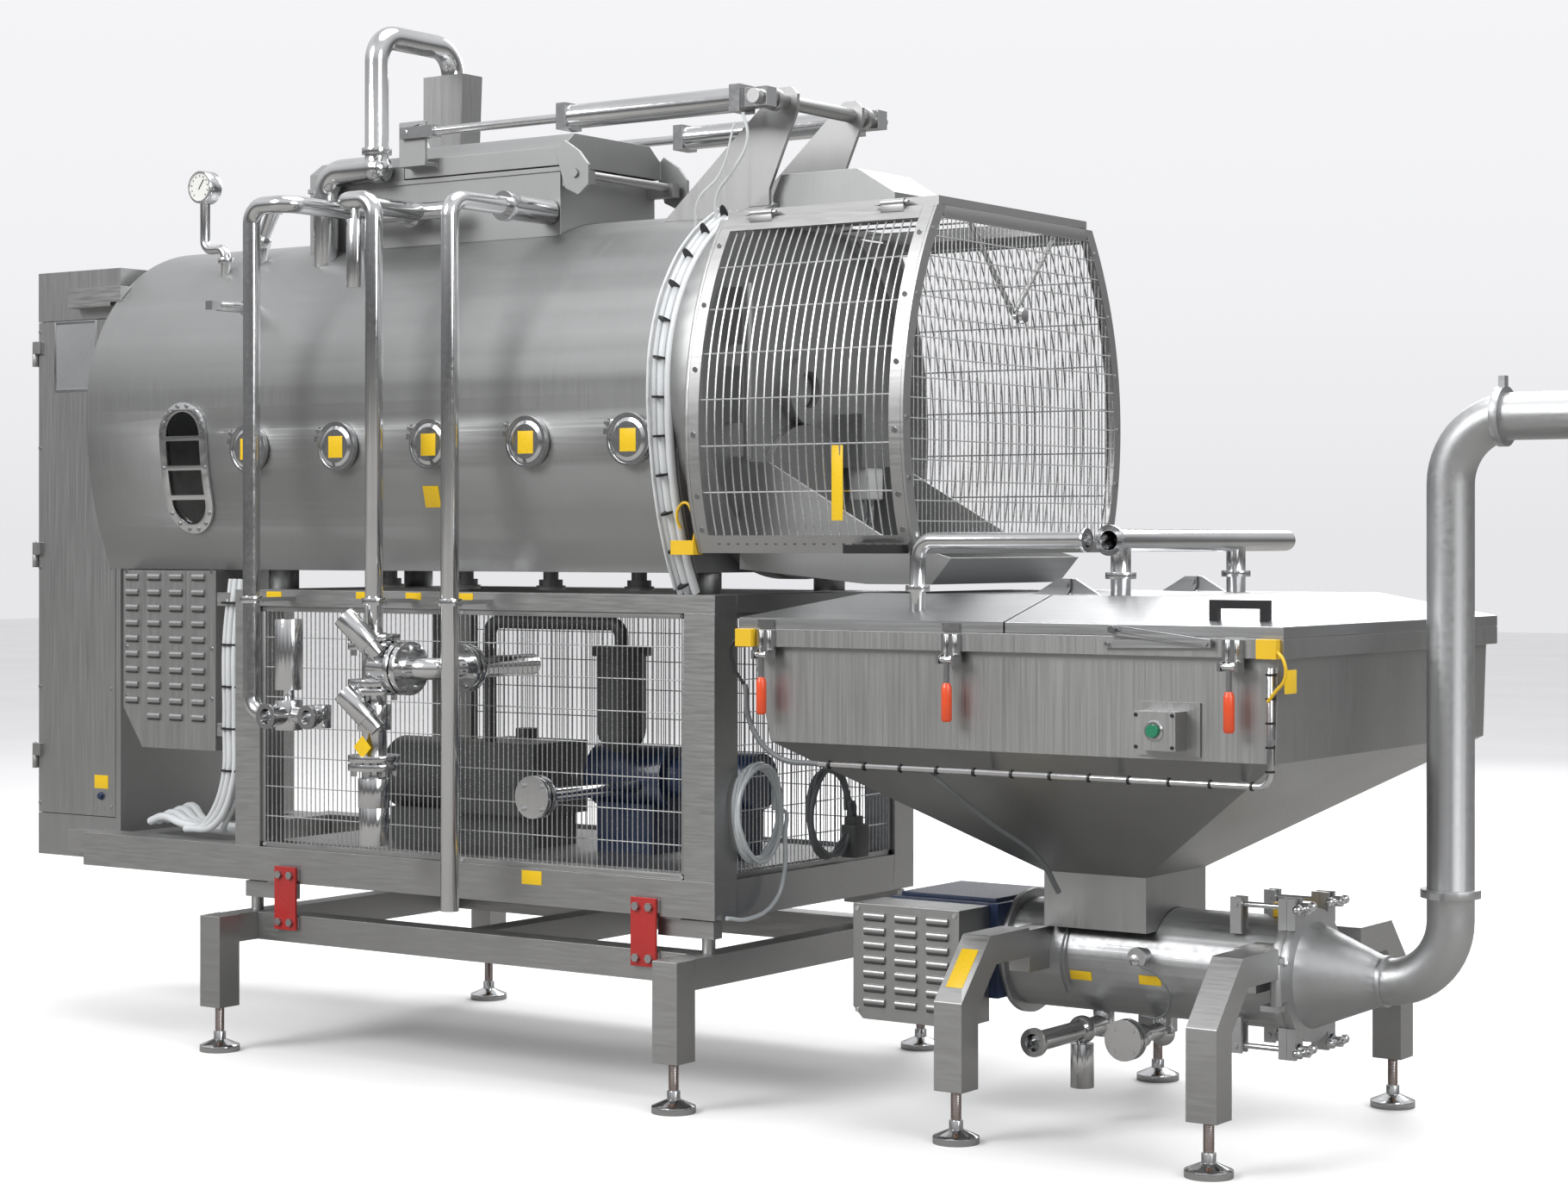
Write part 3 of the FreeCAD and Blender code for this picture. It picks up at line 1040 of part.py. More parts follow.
# outlet cone, bend, riser and run, carried on the hinge
SX0 = "housing_right + 22.3"
cone_part = fuse(cyl(SX0, UY, "pump_z", "165", "22", "+X"),
                 cone("housing_right + 44", UY, "pump_z", "132", "riser_r", "189", "+X"),
                 *ear_set(SX0, "22"))
arm = fuse(cyl("swing_x", "(unit_y - housing_r - swing_out)", "pump_z - 51.5", "15", "101"),
           box("swing_x - 6", "(unit_y - housing_r - swing_out)", "pump_z - 44", "20", "60", "86"))
bore = cyl(SX0 + " - 10", UY, "pump_z", "120", "30", "+X")
pipe = run("housing_right + 232", UY, "pump_z", "riser_r", "bend",
           [("+X", "riser_x - housing_right - 232"), ("+Z", "riser_top - pump_z"),
            ("+X", "outlet_end - riser_x")])
rings = [cyl("riser_x", UY, "626", "riser_r + 15", "20"), cyl("2219", UY, "riser_top", "riser_r + 15",
                                                              "20", "+X"),
         cyl("outlet_end - 14", UY, "riser_top", "riser_r + 13", "14", "+X"),
         cyl("housing_right + 224", UY, "pump_z", "riser_r + 6", "14", "+X"),
         box("riser_x - 12", "unit_y - riser_r - 40", "628", "24", "50", "16"),
         box("2221", "unit_y - 12", "riser_top + riser_r", "16", "24", "40")]
node("outlet_pipe", cut(fuse(cone_part, arm, pipe, *rings), bore,
                        cyl("swing_x", "(unit_y - housing_r - swing_out)", "200", "7 + fit_gap", "400"),
                        cyl("outlet_end - 160", UY, "riser_top", "riser_r - 3", "200", "+X"),
                        *ear_slots()))

# drain and sample valves under the housing
drain = fuse(cyl("1150", UY, "205", "28", "100"), cyl("1150", UY, "235", "25", "364", "-Y"),
             cyl("1150", "-338", "235", "36", "12", "-Y"),
             ball("1150", "-100", "235", "36"), cyl("1150", "-100", "88", "30", "112"),
             cyl("1150", "-100", "190", "14", "40"))
sample = fuse(cyl("1321", UY, "215", "24", "90"), cyl("1321", UY, "236", "20", "200", "-Y"),
              cyl("1321", "-186", "236", "52", "14", "-Y"),
              cyl("1321", "-168", "236", "52", "14", "-Y"), ball("1321", UY, "226", "32"),
              cyl("1321", "-100", "236", "30", "50", "-Y"))
node("drain_valves", cut(drain, housing(), cyl("1150", "-360", "235", "22", "70", "+Y")),
     cut(sample, housing()))

# controls and interlocks
node("button_box", cut(box("1600", HN + " - 41", "1000", "110", "55", "90"),
                       cyl("1655", HN + " - 42", "1046", "16", "8", "+Y")),
                       box("1585", HN + " + 14.3", "985", "160", "5", "125"))
node("green_button", cyl("1655", HN + " - 38.5", "1046", "15", "16", "-Y"))
node("interlocks", box("150", "-522", "1447", "75", "42", "38"),
     box("452", HN + " - 24", "1216", "50", "24", "45"), box("1904", HN + " - 24", "1216", "50", "24",
                                                             "45"),
     cut(box("1640", "-10", "545", "50", "50", "40"), housing()))

# ================= nodes that go together =================
merge = {
    "machine_frame": ["machine_frame", "support_beams", "cabinet_brackets", "cover_brackets",
                      "machinery_tray"],
    "load_cells": ["load_cells", "bracket_bolts"],
    "mesh_panels": ["mesh_near", "mesh_far", "mesh_end"],
    "end_plate": ["vessel_end_plate", "door_hinge", "end_fittings"],
    "vessel_supports": ["vessel_supports", "bottom_nozzles"],
    "discharge_chute": ["discharge_chute", "top_casing"],
    "feed_neck": ["feed_neck", "neck_roof"],
    "lid_supports": ["hatch_hinge", "shaft_plates", "cross_shaft"],
    "port_covers": ["port_covers", "port_clamps"],
    "steam_pipes": ["steam_pipe_left", "steam_pipe_middle", "steam_pipe_right", "manifold",
                    "drain_flange", "pipe_clips"],
    "valve_stack": ["valve_stack", "ball_valve", "valve_actuators"],
    "vent_pipe": ["vent_pipe", "vent_hood", "pressure_gauge", "relief_valve", "level_sensor"],
    "control_cabinet": ["control_cabinet", "cabinet_hinges"],
    "vacuum_pump": ["vacuum_pump", "filter_housing"],
    "motors": ["drive_motor", "blue_motor", "pump_gearbox"],
    "guard_meshes": ["guard_far", "guard_end"],
    "levelling_feet": ["machine_feet"],
}
named = {o.Label: o for o in nodes}
final = []
used = set()
for name, parts in merge.items():
    links = []
    for p in parts:
        o = named[p]
        used.add(p)
        links += list(o.Links) if o.TypeId == "Part::Compound" else [o]
        o.Label = p + "_part"
    if name == "levelling_feet":
        links += unit_feet
    final.append((name, links))
for o in nodes:
    if o.Label in named and o.Label not in used:
        final.append((o.Label, list(o.Links) if o.TypeId == "Part::Compound" else [o]))
        o.Label = o.Label + "_part"
wrapped = []
for name, links in final:
    o = new("Part::Compound")
    o.Links = links
    o.Label = name
    bind(o, "Placement.Base.y", "datum_y")
    wrapped.append(o)
final = wrapped
doc.recompute()
bad = [o.Label for o in doc.Objects if any(s in ("Invalid", "Error") for s in o.State)]
low = FreeCAD.BoundBox()
for o in final:
    if o.Shape.isNull() or not o.Shape.isValid():
        bad.append(o.Label)
    low.add(o.Shape.BoundBox)
if bad:
    raise SystemExit("not built: " + ", ".join(bad))
for o in final:
    o.Shape.exportStep("parts/%s.step" % o.Label)
print(len(final), "nodes", [round(v, 1) for v in (low.XMin, low.XMax, low.YMin, low.YMax, low.ZMin,
                                                  low.ZMax)])
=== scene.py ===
# %% [markdown]
# # A steam cooker and its hopper pump
# This lesson dresses a finished CAD model: a horizontal vacuum cooking vessel on load cells, with a
# control cabinet at one end and a wire guard round the discharge door at the other, and beside it a
# hopper pump on legs of its own. The CAD parts stay where they are. What is added here is what a
# solid model leaves out: wire mesh, screws, louvres, ties, stickers and the finish of the metal.

# %% Start and load the frame
import math
import bpy
import bmesh
from mathutils import Matrix, Vector


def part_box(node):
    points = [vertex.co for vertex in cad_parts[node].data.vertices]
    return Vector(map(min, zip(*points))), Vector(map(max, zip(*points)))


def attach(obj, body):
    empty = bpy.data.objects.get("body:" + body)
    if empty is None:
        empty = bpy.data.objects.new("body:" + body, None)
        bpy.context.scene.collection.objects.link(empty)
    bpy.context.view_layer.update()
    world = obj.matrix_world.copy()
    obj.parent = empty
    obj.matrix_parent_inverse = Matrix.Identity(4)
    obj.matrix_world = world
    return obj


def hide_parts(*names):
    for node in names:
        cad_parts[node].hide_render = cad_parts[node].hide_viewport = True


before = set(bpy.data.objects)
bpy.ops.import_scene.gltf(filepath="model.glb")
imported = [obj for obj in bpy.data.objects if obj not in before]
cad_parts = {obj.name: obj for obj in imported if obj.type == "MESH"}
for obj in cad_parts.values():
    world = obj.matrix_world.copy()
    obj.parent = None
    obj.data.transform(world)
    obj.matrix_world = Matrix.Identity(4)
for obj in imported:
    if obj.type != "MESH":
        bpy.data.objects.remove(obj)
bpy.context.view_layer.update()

# %% [markdown]
# ## Camera
# The camera stands at eye height, a little to the right, and looks level, so that all upright edges
# stay upright. A small vertical shift frames the machine without tilting the camera.

# %% Camera
eye = bpy.data.cameras.new("eye")
eye.lens = 68.6
eye.sensor_width = 36
eye.shift_y = -0.0379
eye.clip_end = 200
camera = bpy.data.objects.new("camera", eye)
camera.location = (4.894, -6.74265, 1.482)
camera.rotation_euler = (math.radians(90), 0, math.radians(34.892))
bpy.context.scene.collection.objects.link(camera)
bpy.context.scene.camera = camera

# %% [markdown]
# ## Floor and light
# Stainless steel shows what stands round it. A plain white room would make it look like paper, so
# the sky here has a bright dome, a dim band near the horizon and a mid-grey ground: the pipes then
# carry the crisp light and dark lines of real polished tube. Only the view behind the machine is
# kept pale, and near the horizon it takes the floor's own tone, so that no hard line shows. Four
# large soft lamps add the gentle fall-off down the shell, one of them from behind.

# %% Sky
bpy.context.scene.view_settings.view_transform = "Standard"
world = bpy.data.worlds.new("studio")
bpy.context.scene.world = world
world.use_nodes = True
sky = world.node_tree
sky.nodes.clear()
direction = sky.nodes.new("ShaderNodeTexCoord")
height = sky.nodes.new("ShaderNodeSeparateXYZ")
dome = sky.nodes.new("ShaderNodeValToRGB")
haze = sky.nodes.new("ShaderNodeValToRGB")


def set_stops(ramp, stops):
    while len(ramp.elements) < len(stops):
        ramp.elements.new(0.5)
    for stop, (place, grey) in zip(ramp.elements, stops):
        stop.position = place
        stop.color = (grey, grey, min(1.0, grey * 1.02), 1)


set_stops(dome.color_ramp, ((0.0, 0.30), (0.42, 0.42), (0.485, 0.14), (0.53, 0.22), (0.63, 0.66), (0.8, 0.95),
                            (1.0, 0.7)))
set_stops(haze.color_ramp, ((0.0, 0.80), (0.5, 0.80), (0.54, 0.88), (0.62, 0.94), (1.0, 0.95)))
half = sky.nodes.new("ShaderNodeMath")
half.operation = "MULTIPLY_ADD"
half.inputs[1].default_value = 0.5
half.inputs[2].default_value = 0.5
reflected = sky.nodes.new("ShaderNodeBackground")
reflected.inputs["Strength"].default_value = 0.95
seen = sky.nodes.new("ShaderNodeBackground")
seen.inputs["Strength"].default_value = 1.0
path = sky.nodes.new("ShaderNodeLightPath")
pick = sky.nodes.new("ShaderNodeMixShader")
out = sky.nodes.new("ShaderNodeOutputWorld")
sky.links.new(direction.outputs["Generated"], height.inputs[0])
sky.links.new(height.outputs["Z"], half.inputs[0])
sky.links.new(half.outputs[0], dome.inputs[0])
sky.links.new(half.outputs[0], haze.inputs[0])
sky.links.new(dome.outputs["Color"], reflected.inputs["Color"])
sky.links.new(haze.outputs["Color"], seen.inputs["Color"])
sky.links.new(path.outputs["Is Camera Ray"], pick.inputs[0])
sky.links.new(reflected.outputs[0], pick.inputs[1])
sky.links.new(seen.outputs[0], pick.inputs[2])
sky.links.new(pick.outputs[0], out.inputs[0])

# %% Lamps


def lamp(name, place, aim, size, power):
    data = bpy.data.lights.new(name, "AREA")
    data.shape = "DISK"
    data.size = size
    data.energy = power
    o = bpy.data.objects.new(name, data)
    o.location = place
    o.rotation_euler = (Vector(aim) - Vector(place)).to_track_quat("-Z", "Y").to_euler()
    bpy.context.scene.collection.objects.link(o)


lamp("key", (-3.5, -9.0, 7.5), (0, 0, 1.2), 6.0, 780)
lamp("fill", (9.0, -3.0, 5.0), (1, 0, 1.0), 6.0, 330)
lamp("top", (0.5, 1.0, 9.0), (0, 0, 1.0), 7.0, 560)
lamp("rear", (-2.0, 9.5, 6.5), (0, 0, 1.2), 6.0, 420)

# %% Floor
half_floor = 40
ground = bpy.data.meshes.new("floor")
ground.from_pydata([(-half_floor, -half_floor, 0), (half_floor, -half_floor, 0),
                    (half_floor, half_floor, 0), (-half_floor, half_floor, 0)], [], [(0, 1, 2, 3)])
floor = bpy.data.objects.new("floor", ground)
bpy.context.scene.collection.objects.link(floor)

# %% [markdown]
# ## Finishes
# Nearly everything is stainless steel, in two finishes. Sheet and tube are satin: fine scratches all
# run one way, so the noise that drives roughness and bump is stretched along the grain. Round pipes
# and turned parts are polished. A second, very large noise gives the cloudy, slightly handled look
# that stops big panels from looking computed. All patterns read Object coordinates, in metres.

# %% Node helpers


def material(name):
    m = bpy.data.materials.new(name)
    m.use_nodes = True
    m.node_tree.nodes.clear()
    shader = m.node_tree.nodes.new("ShaderNodeBsdfPrincipled")
    end = m.node_tree.nodes.new("ShaderNodeOutputMaterial")
    m.node_tree.links.new(shader.outputs[0], end.inputs[0])
    return m, shader


def noise(m, scale, stretch=(1, 1, 1), detail=4):
    tree = m.node_tree
    where = tree.nodes.new("ShaderNodeTexCoord")
    bend = tree.nodes.new("ShaderNodeMapping")
    bend.inputs["Scale"].default_value = stretch
    tex = tree.nodes.new("ShaderNodeTexNoise")
    tex.inputs["Scale"].default_value = scale
    tex.inputs["Detail"].default_value = detail
    tree.links.new(where.outputs["Object"], bend.inputs["Vector"])
    tree.links.new(bend.outputs[0], tex.inputs["Vector"])
    return tex.outputs[0]


def between(m, value, low, high, start=0.3, end=0.7):
    node = m.node_tree.nodes.new("ShaderNodeMapRange")
    node.inputs["From Min"].default_value = start
    node.inputs["From Max"].default_value = end
    node.inputs["To Min"].default_value = low
    node.inputs["To Max"].default_value = high
    m.node_tree.links.new(value, node.inputs["Value"])
    return node.outputs[0]


def tones(m, value, dark, light, start=0.3, end=0.7):
    ramp = m.node_tree.nodes.new("ShaderNodeValToRGB")
    ramp.color_ramp.elements[0].position = start
    ramp.color_ramp.elements[0].color = (*dark, 1)
    ramp.color_ramp.elements[1].position = end
    ramp.color_ramp.elements[1].color = (*light, 1)
    m.node_tree.links.new(value, ramp.inputs[0])
    return ramp.outputs["Color"]


def bump(m, shader, value, strength, distance):
    node = m.node_tree.nodes.new("ShaderNodeBump")
    node.inputs["Strength"].default_value = strength
    node.inputs["Distance"].default_value = distance
    m.node_tree.links.new(value, node.inputs["Height"])
    m.node_tree.links.new(node.outputs[0], shader.inputs["Normal"])


# %% Metals


def steel(name, tone, rough, stretch, spread=0.07, grain=0.12, cloud=1.1):
    m, shader = material(name)
    shader.inputs["Metallic"].default_value = 1.0
    clouds = noise(m, cloud, detail=5)
    dark = tuple(c * 0.86 for c in tone)
    light = tuple(min(1, c * 1.08) for c in tone)
    m.node_tree.links.new(tones(m, clouds, dark, light), shader.inputs["Base Color"])
    streaks = noise(m, 1.0, stretch, detail=6)
    m.node_tree.links.new(between(m, streaks, rough - spread, rough + spread), shader.inputs["Roughness"])
    bump(m, shader, streaks, grain, 0.0006)
    return m


satin_upright = steel("satin_upright", (0.41, 0.412, 0.409), 0.42, (200, 200, 4), grain=0.07)
satin_level = steel("satin_level", (0.44, 0.445, 0.452), 0.36, (4, 200, 200), grain=0.08)
satin_shell = steel("satin_shell", (0.375, 0.378, 0.378), 0.50, (300, 5, 5), spread=0.04, grain=0.05)
satin_frame = steel("satin_frame", (0.43, 0.431, 0.428), 0.42, (10, 150, 150), spread=0.08)
satin_cast = steel("satin_cast", (0.47, 0.475, 0.48), 0.44, (60, 60, 60), spread=0.06, grain=0.08)
polished = steel("polished_steel", (0.66, 0.665, 0.67), 0.13, (70, 70, 70), spread=0.05, grain=0.02, cloud=3)
wire_steel = steel("wire_steel", (0.58, 0.585, 0.59), 0.24, (300, 300, 300), grain=0.05, cloud=4)
rusty_thread = steel("rusty_thread", (0.30, 0.19, 0.14), 0.45, (300, 300, 300), grain=0.3, cloud=30)

# %% Paint, rubber and plastic


def coat(name, colour, rough, shade=0.8, grit=300, bumpy=0.05, gloss=0.0):
    m, shader = material(name)
    shade_of = tuple(c * shade for c in colour)
    m.node_tree.links.new(tones(m, noise(m, 6, detail=5), shade_of, colour), shader.inputs["Base Color"])
    fine = noise(m, grit, detail=3)
    m.node_tree.links.new(between(m, fine, rough - 0.06, rough + 0.06), shader.inputs["Roughness"])
    shader.inputs["Coat Weight"].default_value = gloss
    bump(m, shader, fine, bumpy, 0.0004)
    return m


red_paint = coat("red_paint", (0.46, 0.022, 0.02), 0.32, gloss=0.3)
white_hose = coat("white_hose", (0.70, 0.72, 0.73), 0.38, shade=0.86)
clear_hose = coat("clear_hose", (0.62, 0.66, 0.68), 0.2, shade=0.9, gloss=0.5)
grey_cable = coat("grey_cable", (0.16, 0.17, 0.175), 0.45)
tie_black = coat("tie_black", (0.012, 0.012, 0.013), 0.4)
yellow_plastic = coat("yellow_plastic", (0.83, 0.52, 0.02), 0.38, shade=0.88)
yellow_label = coat("yellow_label", (0.86, 0.56, 0.015), 0.3, shade=0.93, grit=120)
orange_grip = coat("orange_grip", (0.80, 0.085, 0.02), 0.35, shade=0.85, gloss=0.3)
green_cap = coat("green_cap", (0.02, 0.25, 0.13), 0.3, gloss=0.4)
black_plastic = coat("black_plastic", (0.018, 0.018, 0.02), 0.35)
blue_paint = coat("blue_paint", (0.012, 0.03, 0.085), 0.35, gloss=0.3)
grey_paint = coat("grey_paint", (0.085, 0.088, 0.09), 0.45)
dial_white = coat("dial_white", (0.78, 0.78, 0.75), 0.4, shade=0.95)
# Plain black for the gauge marks and hand; the same black is painted shade in the louvre slits and guard
# slots.
black_marks_and_slot_shade = coat("black_marks_and_slot_shade", (0.02, 0.02, 0.02), 0.6)
grey_plate = coat("grey_plate", (0.27, 0.275, 0.28), 0.3, shade=0.9, grit=90)
box_grey = coat("box_grey", (0.62, 0.63, 0.62), 0.4, shade=0.94)

# %% Sight glass
sight_glass, shader = material("sight_glass")
shader.inputs["Transmission Weight"].default_value = 1.0
shader.inputs["IOR"].default_value = 1.5
film = noise(sight_glass, 14, detail=4)
sight_glass.node_tree.links.new(between(sight_glass, film, 0.02, 0.12), shader.inputs["Roughness"])
sight_glass.node_tree.links.new(tones(sight_glass, film, (0.32, 0.36, 0.35), (0.5, 0.54, 0.53)),
                                shader.inputs["Base Color"])

# %% [markdown]
# The floor looks white, but throws back only as much light as a grey one: otherwise it would flood
# the undersides, and the lower half of the vessel would lose its shade.

# %% Floor finish
pale, shader = material("pale_floor")
pale.node_tree.links.new(tones(pale, noise(pale, 0.8), (0.90, 0.90, 0.90), (0.94, 0.94, 0.94)),
                         shader.inputs["Base Color"])
shader.inputs["Roughness"].default_value = 0.7
soft_bounce = pale.node_tree.nodes.new("ShaderNodeBsdfDiffuse")
soft_bounce.inputs["Color"].default_value = (0.30, 0.295, 0.285, 1)
ray = pale.node_tree.nodes.new("ShaderNodeLightPath")
choose = pale.node_tree.nodes.new("ShaderNodeMixShader")
end = pale.node_tree.nodes["Material Output"]
pale.node_tree.links.new(ray.outputs["Is Camera Ray"], choose.inputs[0])
pale.node_tree.links.new(soft_bounce.outputs[0], choose.inputs[1])
pale.node_tree.links.new(shader.outputs[0], choose.inputs[2])
pale.node_tree.links.new(choose.outputs[0], end.inputs[0])
floor.data.materials.append(pale)

# %% [markdown]
# ## Dressing the CAD parts
# Each CAD part takes the finish of the real one. Sharp CAD edges never catch light, so each part also
# gets a small bevel: a Weld joins the loose triangles first, and the Bevel then rounds only the edges
# that turn by more than 35 degrees, which leaves the faceted curves alone.

# %% Finish of each part
finish_of = {
    satin_shell: ["vessel_shell", "end_plate", "vessel_supports", "feed_neck", "hatch_lid",
                  "discharge_chute"],
    satin_upright: ["control_cabinet", "cabinet_door", "drive_cover", "hopper_body", "pump_drive_cover",
                    "button_box", "lid_supports", "discharge_door"],
    satin_level: ["hopper_lid", "hopper_flap", "stay_lower", "stay_upper"],
    satin_frame: ["base_frame", "machine_frame", "guard_frame", "guard_panel", "guard_meshes", "mesh_panels",
                  "pump_legs", "load_cells"],
    satin_cast: ["pump_housing", "mixer_shaft", "pump_auger", "outlet_pipe"],
    polished: ["levelling_feet", "cylinder_barrels", "cylinder_rods", "port_covers", "window_frame",
               "steam_pipes", "valve_stack", "vent_pipe", "header_pipe", "latch_1", "latch_2", "latch_3",
               "unit_fittings", "swing_bolt_1", "swing_bolt_2", "swing_bolt_3", "swing_bolt_4",
               "drain_valves"],
    red_paint: ["transport_brackets"], white_hose: ["hose_bundle"], yellow_plastic: ["interlocks"],
    orange_grip: ["latch_grip_1", "latch_grip_2", "latch_grip_3"], green_cap: ["green_button"],
    black_plastic: ["lid_handle", "guard_handle"], grey_paint: ["vacuum_pump"], blue_paint: ["motors"],
    sight_glass: ["window_glass"],
}
for metal, names in finish_of.items():
    for name in names:
        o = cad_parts[name]
        o.data.materials.clear()
        o.data.materials.append(metal)
print("finishes:", len(finish_of))

# %% Soft edges
no_bevel = {"window_glass", "hose_bundle", "mesh_panels", "guard_panel", "guard_meshes"}
for name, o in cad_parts.items():
    if name in no_bevel:
        continue
    weld = o.modifiers.new("weld", "WELD")
    weld.merge_threshold = 0.00002
    edge = o.modifiers.new("edge", "BEVEL")
    edge.width = 0.0014
    edge.segments = 2
    edge.limit_method = "ANGLE"
    edge.angle_limit = math.radians(35)
    edge.harden_normals = True
    edge.use_clamp_overlap = True

# %% [markdown]
# ## Small makers
# Three makers cover the added pieces. `add_plate` adds a block with rounded edges to a mesh,
# `add_turned` spins an outline round an axis as a lathe does, and `hose` runs a round tube through
# points. The pieces are plain meshes in their final place, with the object itself at the origin.
# Sizes are in millimetres.

# %% Middle lines of the two units, in millimetres
mid_y = 58.35
unit_y, housing_z = 72.35, 410
axis_z = 1900
clad_y, clad_z = 658.35, 1850

# %% Plate, turned piece and hose


def keep(name, mesh, metal, body="machine"):
    mesh.materials.clear()
    mesh.materials.append(metal)
    o = bpy.data.objects.new(name, mesh)
    bpy.context.scene.collection.objects.link(o)
    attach(o, body)
    return o


def from_bmesh(name, bm, metal, body="machine", smooth=True):
    mesh = bpy.data.meshes.new(name)
    bmesh.ops.recalc_face_normals(bm, faces=bm.faces)
    bm.to_mesh(mesh)
    bm.free()
    mesh.shade_smooth() if smooth else mesh.shade_flat()
    if smooth:
        mesh.set_sharp_from_angle(angle=math.radians(38))
    return keep(name, mesh, metal, body)


def add_plate(bm, centre, size, soft=1.0, turn=None):
    # a block with its edges rounded, added to bm
    made = bmesh.ops.create_cube(bm, size=1)["verts"]
    m = Matrix.Translation(Vector(centre) / 1000)
    if turn is not None:
        m = m @ turn.to_4x4()
    m = m @ Matrix.Diagonal((*[s / 1000 for s in size], 1))
    bmesh.ops.transform(bm, matrix=m, verts=made)
    edges = list({e for v in made for e in v.link_edges})
    bmesh.ops.bevel(bm, geom=edges, offset=soft / 1000, segments=2, affect="EDGES", profile=0.6)


def add_turned(bm, centre, way, outline, sides=32):
    # outline is a list of (radius, distance along way)
    spin = Vector(way).to_track_quat("Z", "Y").to_matrix().to_4x4()
    place = Matrix.Translation(Vector(centre) / 1000) @ spin
    rings = []
    for r, h in outline:
        if r <= 0.001:
            rings.append([bm.verts.new(place @ Vector((0, 0, h / 1000)))])
        else:
            rings.append([bm.verts.new(place @ Vector((r / 1000 * math.cos(2 * math.pi * i / sides),
                                                       r / 1000 * math.sin(2 * math.pi * i / sides),
                                                       h / 1000))) for i in range(sides)])
    for a, b in zip(rings, rings[1:]):
        for i in range(sides):
            j = (i + 1) % sides
            if len(a) == 1 and len(b) > 1:
                bm.faces.new((a[0], b[i], b[j]))
            elif len(b) == 1 and len(a) > 1:
                bm.faces.new((a[i], b[0], a[j]))
            elif len(a) > 1:
                bm.faces.new((a[i], b[i], b[j], a[j]))
    for ring in (rings[0], rings[-1]):
        if len(ring) > 1:
            bm.faces.new(ring)


def hose(name, points, radius, metal, body="machine", steps=10):
    curve = bpy.data.curves.new(name, "CURVE")
    curve.dimensions = "3D"
    curve.bevel_depth = radius / 1000
    curve.bevel_resolution = 3
    curve.resolution_u = steps
    curve.use_fill_caps = True
    line = curve.splines.new("BEZIER")
    line.bezier_points.add(len(points) - 1)
    for p, q in zip(line.bezier_points, points):
        p.co = Vector(q) / 1000
        p.handle_left_type = p.handle_right_type = "AUTO"
    host = bpy.data.objects.new(name + "_line", curve)
    bpy.context.scene.collection.objects.link(host)
    bpy.context.view_layer.update()
    mesh = bpy.data.meshes.new_from_object(host.evaluated_get(bpy.context.evaluated_depsgraph_get()))
    bpy.data.objects.remove(host)
    mesh.shade_smooth()
    return keep(name, mesh, metal, body)


# %% [markdown]
# ## Repeats as Geometry Nodes
# Wires, screws, louvres, ties and threads are one shape many times over. Each of the three trees
# below is a small machine with named inputs. `heads` puts a turned head on every point of its host,
# `wires` copies one wire sideways and crosses it with others, and `bands` wraps a path with ties.
# The result is made real and turned into a plain mesh, and the host is thrown away.

# %% Tree helpers


def new_tree(name, inputs):
    g = bpy.data.node_groups.new(name, "GeometryNodeTree")
    g.interface.new_socket("Geometry", in_out="INPUT", socket_type="NodeSocketGeometry")
    g.interface.new_socket("Geometry", in_out="OUTPUT", socket_type="NodeSocketGeometry")
    for label, kind in inputs:
        g.interface.new_socket(label, in_out="INPUT", socket_type="NodeSocket" + kind)
    return g, g.nodes.new("NodeGroupInput"), g.nodes.new("NodeGroupOutput")


def join_up(g, *pairs):
    for a, b in pairs:
        g.links.new(a, b)


def grown(name, tree, verts, edges, values, metal, body="machine"):
    # run a tree on a host made of verts and edges, in millimetres, and keep the plain mesh
    host_mesh = bpy.data.meshes.new(name + "_host")
    host_mesh.from_pydata([Vector(v) / 1000 for v in verts], edges, [])
    host = bpy.data.objects.new(name + "_host", host_mesh)
    bpy.context.scene.collection.objects.link(host)
    step = host.modifiers.new("grow", "NODES")
    step.node_group = tree
    names = {s.name: s.identifier for s in tree.interface.items_tree if s.in_out == "INPUT"}
    for label, value in {**values, "Finish": metal}.items():
        step[names[label]] = value
    bpy.context.view_layer.update()
    mesh = bpy.data.meshes.new_from_object(host.evaluated_get(bpy.context.evaluated_depsgraph_get()))
    bpy.data.objects.remove(host)
    mesh.shade_smooth()
    mesh.set_sharp_from_angle(angle=math.radians(40))
    print(name, len(mesh.polygons), "faces")
    return keep(name, mesh, metal, body)


# %% Heads on points
heads, start, end = new_tree("heads", [("Sides", "Int"), ("Radius", "Float"), ("Height", "Float"),
                                       ("Way", "Vector"), ("Stretch", "Vector"), ("Finish", "Material")])
head = heads.nodes.new("GeometryNodeMeshCylinder")
turn = heads.nodes.new("FunctionNodeAlignRotationToVector")
turn.axis = "Z"
each = heads.nodes.new("GeometryNodeInstanceOnPoints")
real = heads.nodes.new("GeometryNodeRealizeInstances")
paint = heads.nodes.new("GeometryNodeSetMaterial")
join_up(heads, (start.outputs["Sides"], head.inputs["Vertices"]),
        (start.outputs["Radius"], head.inputs["Radius"]),
        (start.outputs["Height"], head.inputs["Depth"]), (start.outputs["Way"], turn.inputs["Vector"]),
        (start.outputs["Geometry"], each.inputs["Points"]), (head.outputs["Mesh"], each.inputs["Instance"]),
        (turn.outputs[0], each.inputs["Rotation"]), (start.outputs["Stretch"], each.inputs["Scale"]),
        (each.outputs[0], real.inputs[0]), (real.outputs[0], paint.inputs["Geometry"]),
        (start.outputs["Finish"], paint.inputs["Material"]), (paint.outputs[0], end.inputs[0]))


def dots(name, points, way, radius, height, metal, sides=12, stretch=(1, 1, 1), body="machine"):
    return grown(name, heads, points, [], {"Sides": sides, "Radius": radius / 1000, "Height": height / 1000,
                                           "Way": way, "Stretch": stretch}, metal, body)


